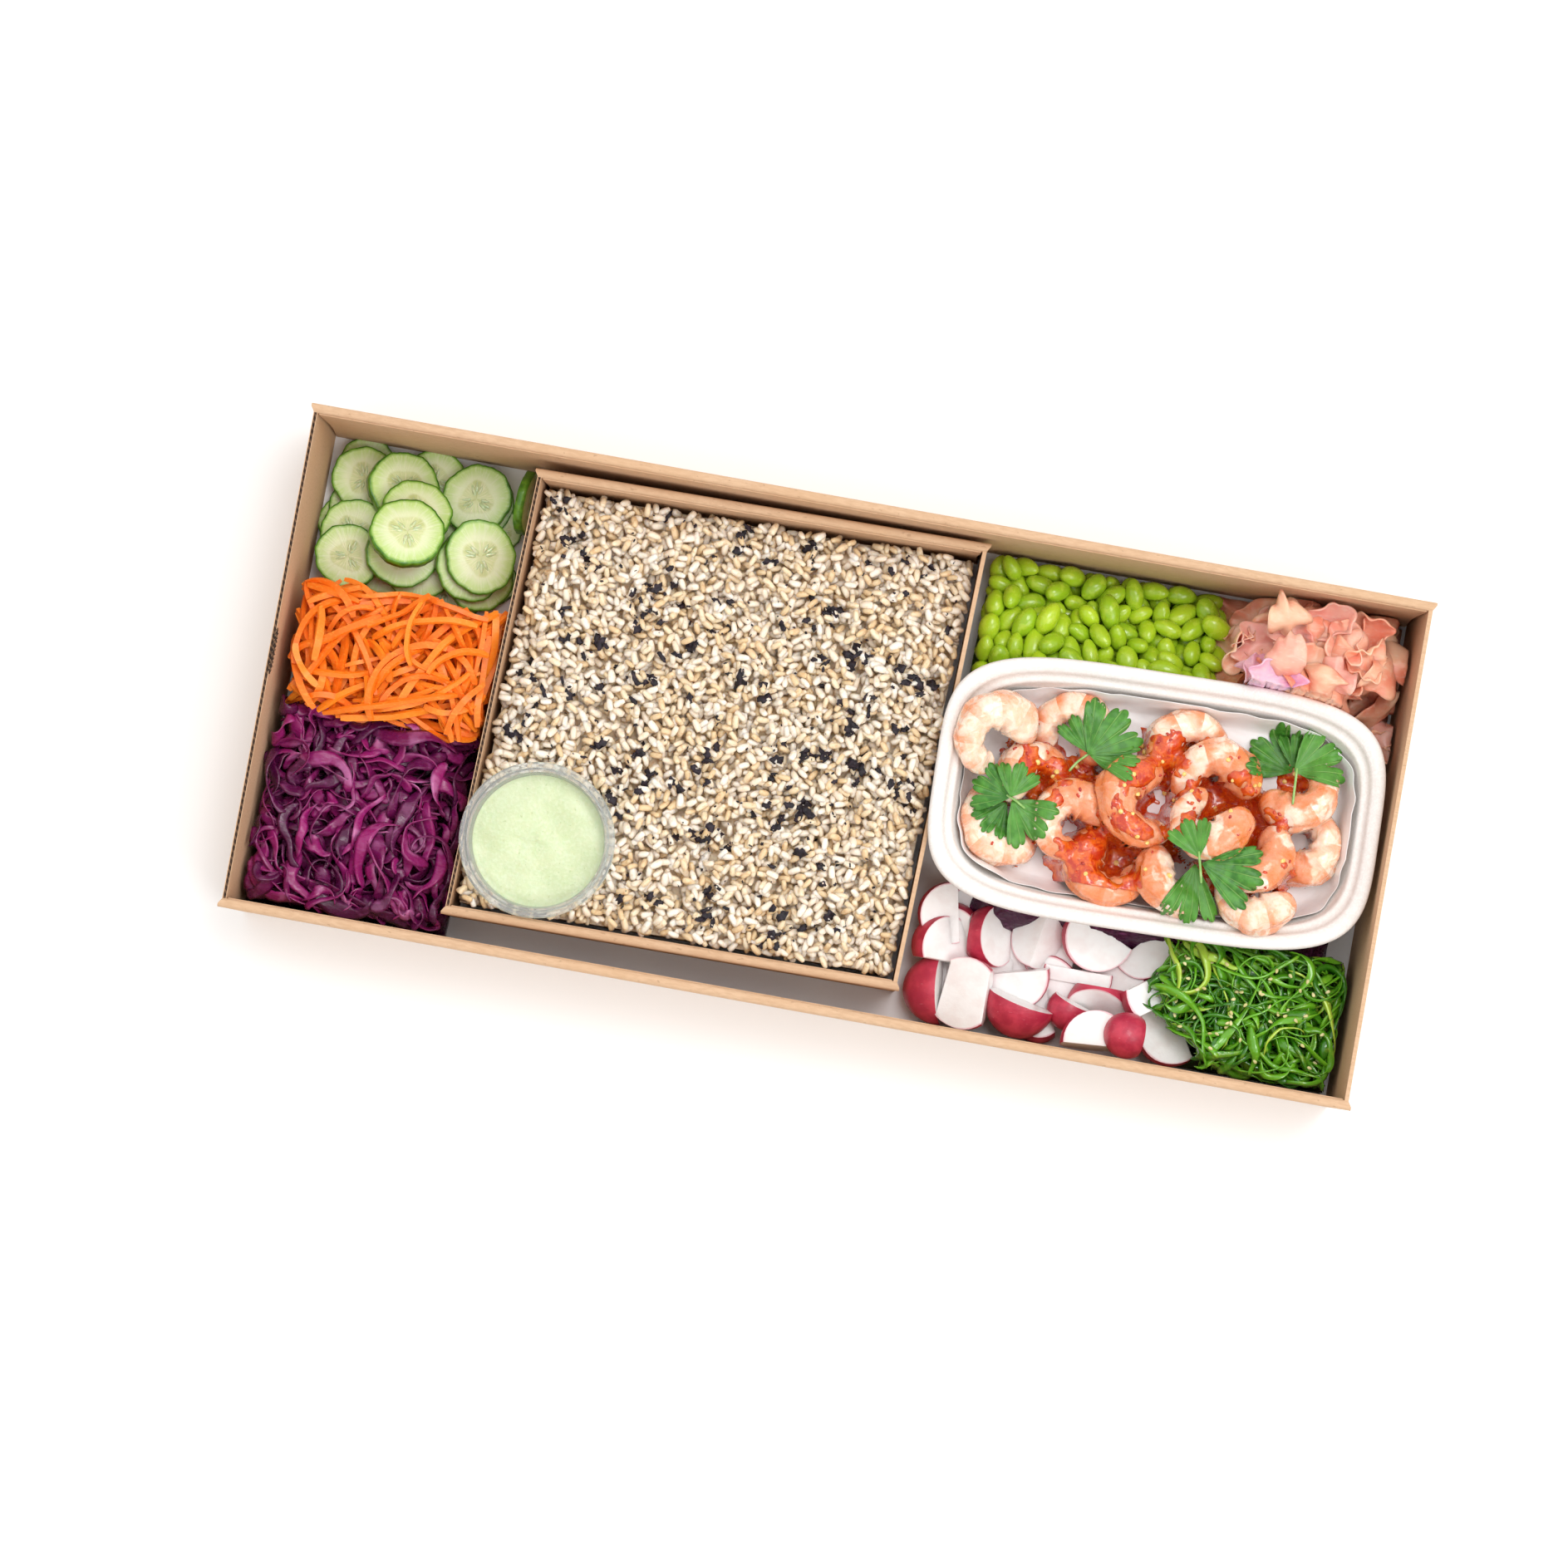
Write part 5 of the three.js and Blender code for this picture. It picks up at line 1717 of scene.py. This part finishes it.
def prawn_points(shape, size, lag):
    """A peeled prawn, curled in its own plane with its gap towards +X, and its places."""
    ball_points = shape.points
    along = np.arccos(np.clip(-ball_points[:, 2], -1, 1)) / math.pi
    around = np.arctan2(ball_points[:, 1], ball_points[:, 0])
    blunt = np.sqrt(np.maximum(1 - np.abs(2 * along - 1) ** 5, 0))
    girth = mixed(PRAWN["body"], PRAWN["tail"], eased(along * 1.15)) * blunt
    in_fan = eased((along - 0.84) / 0.12)
    out, up = np.cos(around), np.sin(around)
    ring = (along * SEGMENTS + lag) % 1
    ridge = 0.085 * (ring**1.6) * eased((1 - ring) / 0.12) * (0.6 + 0.4 * out) * (1 - in_fan)
    groove = 0.16 * np.exp(-((around / 0.2) ** 2))
    groove = groove * eased((along - 0.06) / 0.08) * eased((0.72 - along) / 0.1)
    belly = 0.12 * np.maximum(-out, 0) * np.abs(np.sin(along * SEGMENTS * math.pi + 1 + lag))
    lumpy = 0.05 * np.sin(5 * along * 6 + 3 * around + lag)
    lumpy = lumpy + 0.03 * np.sin(11 * around + 23 * along + 2 * lag)
    full = 1 + ridge - groove - belly + lumpy
    wide = mixed(girth * full, PRAWN["fan"] * blunt, in_fan)
    thick = mixed(girth * 0.95 * full, 1.8 * blunt, in_fan)
    angle = math.pi + PRAWN["sweep"] * (along - 0.5) * (1 + 0.04 * math.sin(lag))
    wave = 0.9 * np.sin(4 * angle + lag) * (1 - blunt * 0.4)
    reach = PRAWN["curl"] + wide * out + 0.5 * wave
    points = np.stack([reach * np.cos(angle), reach * np.sin(angle), thick * up], 1) * size * MM
    return points, np.stack([along, out, up], 1)


def prawn_flesh():
    finish = Finish(
        "prawn flesh", Roughness=0.28, Subsurface_Weight=0.5, Subsurface_Scale=0.005, Coat_Weight=0.6
    )
    finish.shader.inputs["Subsurface Radius"].default_value = (1, 0.5, 0.35)
    along, out, _ = finish.apart(finish.attribute("spot", "Vector"))
    tone = finish.attribute("tone")
    wave = finish.node("Math", {"operation": "FRACT"}, {0: along * SEGMENTS + tone * 3})
    veins = finish.clouds(0.006, 4, distortion=1.5)
    fine = finish.clouds(0.0018, 4)
    bands = wave.above(0.45, 0.9) * out.above(-0.35, 0.6)
    shade = finish.blend(veins.above(0.35, 0.7), "fbe0cc", "f6c8a6")
    shade = finish.blend(bands * (0.45 + 0.5 * tone), shade, "ec8e58")
    shade = finish.blend(out.above(0.55, 1) * veins.above(0.42, 0.62) * 0.5, shade, "ea8c58")
    shade = finish.blend(fine.above(0.6, 0.75) * 0.3, shade, "fdf3ea")
    shade = finish.blend(glazed(finish) * 0.9, shade, "e2762a")
    finish.relief(fine * 0.5 + veins * 0.9, 0.0009, 0.6)
    return finish.wear(shade, 0.14 + 0.25 * fine)


def prawns():
    rng = random.Random(91)
    shape = Shape(ball("prawn_ball", 30, 64))
    items = []
    names = [f"prawn_{i + 1}" for i in range(15)]
    for name, (gap, size, up) in zip(names, PRAWN_TURNS):
        packed = node_points(name)
        _, axes, centre = flat_axes(packed)
        normal = axes[:, 2]
        lean_y, lean_x = math.asin(normal[0]), math.atan2(-normal[1], normal[2])
        lean = Matrix.Rotation(lean_x, 3, "X") @ Matrix.Rotation(lean_y, 3, "Y")
        flip = Matrix.Rotation(0 if up > 0 else math.pi, 3, "X")
        spin = np.array(lean @ Matrix.Rotation(math.radians(gap), 3, "Z") @ flip)
        points, spots = prawn_points(shape, size, rng.uniform(0, 6))
        points = points @ spin.T
        points = points * PRAWN_SWELL + centre - (points.max(0) + points.min(0)) / 2
        items.append((shape, points, rng.random(), spots))
    piece = copies("prawn_tails", items)
    face_out(piece)
    return serve(smooth(piece), prawn_flesh(), "prawn", *names)


# ---------------------------------------------------------------- chilli sauce

SAUCE = [  # middle of each pool, its radius, and how thick it lies
    (137, -34, 18, 2.6), (123, -24, 11, 1.2), (146, -13, 15, 1.9), (165, 32, 15, 2.2), (150, 16, 14, 1.6),
    (103, 13, 15, 1.7), (122, 14, 12, 1.6), (184, 10, 16, 1.5), (203, 20, 13, 1.6), (218, 6, 11, 1.8),
    (210, -8, 11, 1.2), (176, -10, 13, 1.4), (160, -34, 9, 1.2), (110, -4, 9, 1.2), (229, 30, 10, 1.5),
    (196, -27, 10, 1.2), (233, -16, 8, 1.3), (160, -2, 10, 1.1),
]
GLAZE_SPREAD = 1.9


def glazed(finish):
    """How much of the sauce has run over a place: 1 in the pools, and 0 away from them."""
    x, y, _ = finish.apart(finish.place())
    total = None
    for pool_x, pool_y, radius, _ in SAUCE[::2]:
        reach = radius * GLAZE_SPREAD * MM
        away = (x - pool_x * MM) * (x - pool_x * MM) + (y - pool_y * MM) * (y - pool_y * MM)
        share = (1 - away / (reach * reach)).above(0, 0.8)
        total = share if total is None else total + share
    ragged = finish.clouds(0.007, 4, distortion=1)
    return (total * 0.8 + ragged - 0.7).above(0, 0.3) * (0.5 + 0.6 * ragged)


def sauce_depth(x, y):
    """The depth of sauce over places in millimetres; nothing where it is below zero."""
    depth = -1.2
    for pool_x, pool_y, radius, thick in SAUCE:
        away = np.hypot(x - pool_x, y - pool_y) / radius
        depth = depth + (thick + 1.2) * np.exp(-((away * 1.15) ** 2.4))
    return depth + 0.9 * wobble(x, y, 3.1, 4) + 0.6 * wobble(x, y, 1.5, 2)


def sauce_finish():
    finish = Finish(
        "chilli sauce", Roughness=0.06, Subsurface_Weight=0.5, Subsurface_Scale=0.004, Coat_Weight=1.0
    )
    finish.shader.inputs["Subsurface Radius"].default_value = (1, 0.25, 0.08)
    flow = finish.clouds(0.006, 3, distortion=1.2)
    pulp = finish.clouds(0.0024, 3)
    shade = finish.blend(flow.above(0.35, 0.68), "c2300a", "ea6c1c")
    shade = finish.blend(pulp.above(0.6, 0.72) * 0.6, shade, "f4923a")
    shade = finish.blend(pulp.below(0.3, 0.42) * 0.5, shade, "a01c08")
    finish.relief(pulp + flow, 0.0008, 0.6)
    return finish.wear(shade, 0.05 + 0.12 * pulp)


def tray_surface(*pieces):
    """What can be rained on in the pulp tray, as a height in metres over any place in it."""
    trees = [BVHTree.FromObject(piece, bpy.context.evaluated_depsgraph_get()) for piece in pieces]

    def height(x, y):
        hits = [tree.ray_cast(Vector((x, y, 0.2)), Vector((0, 0, -1)))[0] for tree in trees]
        return max([hit.z for hit in hits if hit], default=0.0385)

    return height


def blurred(grid, passes):
    for _ in range(passes):
        padded = np.pad(grid, 1, "edge")
        grid = (padded[:-2, 1:-1] + padded[2:, 1:-1] + padded[1:-1, :-2] + padded[1:-1, 2:] + 2 * grid) / 6
    return grid


def chilli_sauce(height):
    """Sauce drawn over whatever lies under it: thick in its pools, and thin where it has run."""
    step = 0.8
    xs = np.arange(80, 246, step)
    ys = np.arange(-62, 44, step)
    grid_x, grid_y = np.meshgrid(xs, ys, indexing="ij")
    ground = np.array([[height(x * MM, y * MM) for y in ys] for x in xs]) / MM
    proud = ground - blurred(ground, 40)
    depth = blurred(sauce_depth(grid_x, grid_y) - 0.22 * np.maximum(proud, 0) - 0.05 * proud, 2)
    wet = (depth > -0.6) & in_pulp_tray(grid_x, grid_y, 20)
    rounding = np.sqrt(np.maximum(depth, 0) / 1.6)
    filled = np.maximum(blurred(ground, 14), ground) + 0.1 + np.minimum(1.1 * rounding, 1.6)
    filled += 0.12 * wobble(grid_x, grid_y, 1.1, 7)
    top = blurred(mixed(ground - 0.9, filled, eased((depth + 0.35) / 1.3)), 1)
    index = -np.ones(wet.shape, int)
    used = wet.copy()
    used[:-1] |= wet[1:]
    used[1:] |= wet[:-1]
    used[:, :-1] |= wet[:, 1:]
    used[:, 1:] |= wet[:, :-1]
    index[used] = np.arange(used.sum())
    upper = np.stack([grid_x[used], grid_y[used], top[used]], 1)
    lower = np.stack([grid_x[used], grid_y[used], ground[used] - 1.2], 1)
    count = len(upper)
    cells = [(index[i, j], index[i + 1, j], index[i + 1, j + 1], index[i, j + 1])
             for i in range(len(xs) - 1) for j in range(len(ys) - 1)
             if used[i, j] and used[i + 1, j] and used[i, j + 1] and used[i + 1, j + 1]]
    sides = {}
    for cell in cells:
        for a, b in zip(cell, cell[1:] + cell[:1]):
            sides.pop((b, a)) if (b, a) in sides else sides.__setitem__((a, b), True)
    faces = cells + [tuple(i + count for i in reversed(cell)) for cell in cells]
    faces += [(b, a, a + count, b + count) for a, b in sides]
    mesh = bpy.data.meshes.new("chilli_sauce")
    mesh.from_pydata((np.concatenate([upper, lower]) * MM).tolist(), [], faces)
    sauce = bpy.data.objects.new("chilli_sauce", mesh)
    bpy.context.collection.objects.link(sauce)
    edit(sauce, lambda: bpy.ops.mesh.delete_loose())
    face_out(sauce)
    return serve(smooth(sauce), sauce_finish(), "prawn")


def chilli_seeds(height):
    """Round pale seeds and torn red flakes caught in the sauce."""
    rng = random.Random(101)
    seed = ball("chilli_seed", 10, 6)
    points = points_of(seed) * np.array([1.5, 1.35, 0.55]) * MM
    seed = Shape(set_points(seed, points))
    flake = ball("flake", 5, 3)
    points = points_of(flake) * np.array([1.5, 0.9, 0.25]) * MM
    flake = Shape(set_points(flake, points))
    kinds = {"seed": [], "flake": []}
    while len(kinds["seed"]) < 34 or len(kinds["flake"]) < 84:
        x, y = rng.uniform(82, 244), rng.uniform(-58, 42)
        depth = sauce_depth(np.float64(x), np.float64(y))
        kind = "seed" if rng.random() < 0.3 else "flake"
        too_dry = depth < (-0.5 if kind == "flake" else 0.1)
        enough = len(kinds[kind]) >= (34 if kind == "seed" else 84)
        if not in_pulp_tray(x, y, 24) or too_dry or enough:
            continue
        shape = seed if kind == "seed" else flake
        size = rng.uniform(0.7, 1.1)
        spin = turned(rng.uniform(0, 6.3), rng.gauss(0, 0.25), rng.gauss(0, 0.25))
        z = height(x * MM, y * MM) + 0.25 * MM
        points = shape.points * size @ spin.T + np.array([x * MM, y * MM, z])
        kinds[kind].append((shape, points, rng.random()))
    pale = Finish(
        "chilli seed", Roughness=0.2, Subsurface_Weight=0.3, Subsurface_Scale=0.002, Coat_Weight=0.4
    )
    mist = pale.clouds(0.001, 3)
    pale.relief(mist, 0.0002, 0.4)
    shade = pale.blend(mist.above(0.4, 0.7), "f2cf7a", "e9b04e")
    serve(copies("chilli_seeds", kinds["seed"]), pale.wear(shade, 0.15 + 0.2 * mist), "prawn")
    red = Finish("chilli flake", Roughness=0.2, Coat_Weight=0.5)
    tone = red.attribute("tone")
    mist = red.clouds(0.001, 3)
    red.relief(mist, 0.0003)
    shade = red.blend(tone, "a51a0a", "d8481a")
    serve(copies("chilli_flakes", kinds["flake"]), red.wear(shade, 0.15 + 0.2 * mist), "prawn")


# ---------------------------------------------------------------- coriander

# Each leaflet: the place of its base, the way it points in degrees, its length, how wide it fans
# in degrees, and how much its tip droops.
SPRIGS = [
    {"stem": [(118.5, 14.5), (122, 20), (127, 25)], "height": 74,
     "leaflets": [(126, 24, 58, 29, 50, 5), (126, 25, 122, 20, 38, 3), (127, 24, 2, 24, 38, 5)]},
    {"stem": [(100, -8), (95, -5), (90, -3)], "height": 72,
     "leaflets": [(92, -4, 165, 20, 52, 4), (92, -4, 80, 18, 50, 3), (93, -5, -40, 24, 52, 5),
                  (91, -6, -120, 19, 44, 3)]},
    {"stem": [(229, 17), (228.5, 26), (228, 35)], "height": 74,
     "leaflets": [(228, 34, 35, 26, 52, 5), (228, 34, 150, 25, 52, 5), (228, 36, 92, 18, 40, 3)]},
    {"stem": [(190, -30), (188, -22), (186, -15)], "height": 72,
     "leaflets": [(187, -18, 120, 20, 44, 4), (189, -20, -8, 31, 42, 6), (187, -20, -88, 30, 38, 5)]},
]


def leaf_finish():
    finish = Finish("coriander leaf", Roughness=0.4, Subsurface_Weight=0.12, Subsurface_Scale=0.002)
    finish.shader.inputs["Subsurface Radius"].default_value = (0.5, 1, 0.2)
    along, across, _ = finish.apart(finish.attribute("spot", "Vector"))
    tone = finish.attribute("tone")
    mottle = finish.clouds(0.004, 4)
    wave = finish.node("Math", {"operation": "SINE"}, {0: across * 21})
    rib = wave.above(0.86, 1) * along.above(0.08, 0.3)
    shade = finish.blend(mottle.above(0.35, 0.7), "2f6c1c", "4f9030")
    shade = finish.blend(tone * 0.5, shade, "5f9e38")
    shade = finish.blend(rib * 0.45, shade, "8fbb62")
    finish.relief(mottle * 0.6 - rib * 0.8, 0.0006, 0.7)
    return finish.wear(shade, 0.32 + 0.25 * mottle)


def leaflet(name, base, heading, long, fan, droop, height, lag):
    """A fan-shaped leaflet: three lobes with small rounded teeth, rippled and drooping."""
    across, rows = 73, 11
    blank = sheet_of(name, (-1, 0), (1, 1), across - 1, rows - 1)
    side, out = points_of(blank)[:, 0], points_of(blank)[:, 1]
    angle = side * math.radians(fan)
    lobes = 0.62 + 0.32 * np.abs(np.cos(side * math.pi * 1.5)) ** 0.5 - 0.06 * side**2
    teeth = 0.09 * np.abs(np.cos(side * math.pi * 4.5)) ** 0.6
    edge = (lobes + teeth) * eased((1.05 - np.abs(side)) / 0.2) ** 0.4
    reach = long * out * mixed(1, edge, out**1.5)
    reach = np.maximum(reach, 0.4)
    turn = math.radians(heading) + angle
    x = base[0] + reach * np.cos(turn)
    y = base[1] + reach * np.sin(turn)
    share = reach / long
    ribs = 0.35 * np.abs(np.sin(side * 10.5)) * share
    ruffle = 1.5 * share**2 * np.sin(side * 6.5 + lag) + 0.7 * share**2 * np.sin(side * 15 + 2 * lag)
    cup = 2.2 * share * (1 - np.abs(side)) - droop * share**2.2
    lies_on = np.array([height(a * MM, b * MM) for a, b in zip(x, y)]) / MM
    level = np.percentile(lies_on, 70) + 0.8
    z = np.maximum(level + ribs + ruffle + cup, lies_on + 0.6 + 0.3 * ribs)
    set_points(blank, np.stack([x, y, z], 1) * MM)
    spots = np.stack([share, side, 0 * side], 1)
    blank.data.attributes.new("spot", "FLOAT_VECTOR", "POINT").data.foreach_set("vector", spots.ravel())
    tone = np.full(len(side), (math.sin(lag * 3) + 1) / 2)
    blank.data.attributes.new("tone", "FLOAT", "POINT").data.foreach_set("value", tone)
    modify(blank, "SOLIDIFY", thickness=0.28 * MM, offset=0)
    return blank


def stem(name, line, level, radius=0.65):
    """A thin stem: a small ring drawn along a line."""
    path = np.array([(x, y, level + 0.4 * i) for i, (x, y) in enumerate(line)]) * MM
    shape = strand_shape(name, 6, 12, 0.8)
    fine = np.linspace(0, 2, 13)
    curve = np.stack([np.interp(fine, np.arange(len(path)), path[:, axis]) for axis in range(3)], 1)
    curve[1:-1] = (curve[:-2] + curve[1:-1] + curve[2:]) / 3
    return shape, bent(shape, curve, 2 * radius * MM, 2 * radius * MM)


def coriander(height):
    leaves, stems = [], []
    lag = 0.7
    for sprig in SPRIGS:
        base = sprig["leaflets"][0]
        ground = max(height(x * MM, y * MM) for x, y in [base[:2], *sprig["stem"]]) / MM
        level = ground + 0.6
        for x, y, heading, long, fan, droop in sprig["leaflets"]:
            lag += 1.3
            leaves.append(leaflet("leaflet", (x, y), heading, long, fan, droop, height, lag))
        shape, points = stem("stem", sprig["stem"], level - 0.2)
        stems.append((shape, points, 0.5, np.zeros((len(points), 3))))
    finish = leaf_finish()
    serve(smooth(joined("coriander_leaves", leaves)), finish, "prawn")
    green = Finish("coriander stem", Roughness=0.4)
    mottle = green.clouds(0.003, 3)
    green.relief(mottle, 0.0003)
    shade = green.blend(mottle.above(0.35, 0.7), "7fae56", "a3c77c")
    serve(copies("coriander_stems", stems), green.wear(shade, 0.35 + 0.2 * mottle), "prawn")


# ---------------------------------------------------------------- torn seaweed on the rice


def nori_finish():
    finish = Finish("torn nori", Roughness=0.45, Specular_IOR_Level=0.4)
    mottle = finish.clouds(0.002, 4)
    finish.relief(mottle, 0.0008)
    return finish.wear(finish.blend(mottle.above(0.35, 0.75), "120c14", "32222e"), 0.35 + 0.3 * mottle)


NORI_PATCHES = 115


def nori(pile):
    """Torn flakes: small crumpled scraps in loose clusters, and crumbs between them."""
    rng = random.Random(111)
    scrap = sheet_of("scrap", (-1, -1), (1, 1), 4, 3)
    modify(scrap, "SOLIDIFY", thickness=0.12, offset=0)
    scrap = Shape(scrap)
    half_x, half_y = RICE["halfLength"] - 3, RICE["halfWidth"] - 3
    items = []

    def drop(x, y, size):
        if abs(x) > half_x or abs(y) > half_y:
            return
        px, py, pz = scrap.points.T
        turn = np.arctan2(py, px)
        ragged = 1 + 0.25 * np.sin(2 * turn + rng.uniform(0, 6)) + 0.2 * np.sin(5 * turn + rng.uniform(0, 6))
        round_off = 1 / np.maximum(1, np.hypot(px, py) ** 0.8)
        crumple = 0.35 * np.sin(3 * px + rng.uniform(0, 6)) * np.cos(2.4 * py + rng.uniform(0, 6))
        narrow = rng.uniform(0.35, 0.95)
        flake = [px * ragged * round_off, py * ragged * round_off * narrow, pz + crumple]
        points = np.stack(flake, 1) * size * MM
        points = points @ turned(rng.uniform(0, 6.3), rng.gauss(0, 0.3), rng.gauss(0, 0.3)).T
        z = pile.at(x * MM, y * MM) + 0.5 * MM
        place = in_square_tray(np.array([[x * MM, y * MM, z]]))[0]
        if pot_clear(place[0], place[1], 41):
            items.append((scrap, points + place, rng.random()))

    for _ in range(NORI_PATCHES):
        x, y = rng.uniform(-half_x, half_x), rng.uniform(-half_y, half_y)
        for _ in range(rng.choice([1, 2, 3, 5])):
            drop(x + rng.gauss(0, 4), y + rng.gauss(0, 4), rng.uniform(1.2, 3.5))
    for _ in range(260):
        drop(rng.uniform(-half_x, half_x), rng.uniform(-half_y, half_y), rng.uniform(0.4, 1.1))
    return serve(copies("nori_flakes", items), nori_finish(), "rice")


# ---------------------------------------------------------------- the whole box

set_camera()
set_light()
lay_floor()
board_finishes = [kraft_finish(), raw_edge_finish(), white_liner_finish()]
board_tray("long_tray", LONG_TRAY, Matrix.Identity(4), "outer_box", board_finishes)
torn_slot(board_finishes[1])
board_tray("square_tray", SQUARE_TRAY, SQUARE_PLACE, "inner_box", board_finishes)
pulp_tray()
paper_piece = tray_paper()
dip_cup()
dip()
rice_pile = rice_heap()
carrot()
cabbage()
seaweed()
edamame()
ginger()
cucumber()
RADISH_FINISHES = [radish_skin(), radish_flesh()]
radishes()
prawn_piece = prawns()
over_prawns = tray_surface(prawn_piece, paper_piece)
sauce_piece = chilli_sauce(over_prawns)
over_sauce = tray_surface(prawn_piece, paper_piece, sauce_piece)
chilli_seeds(over_sauce)
coriander(over_sauce)
nori(rice_pile)
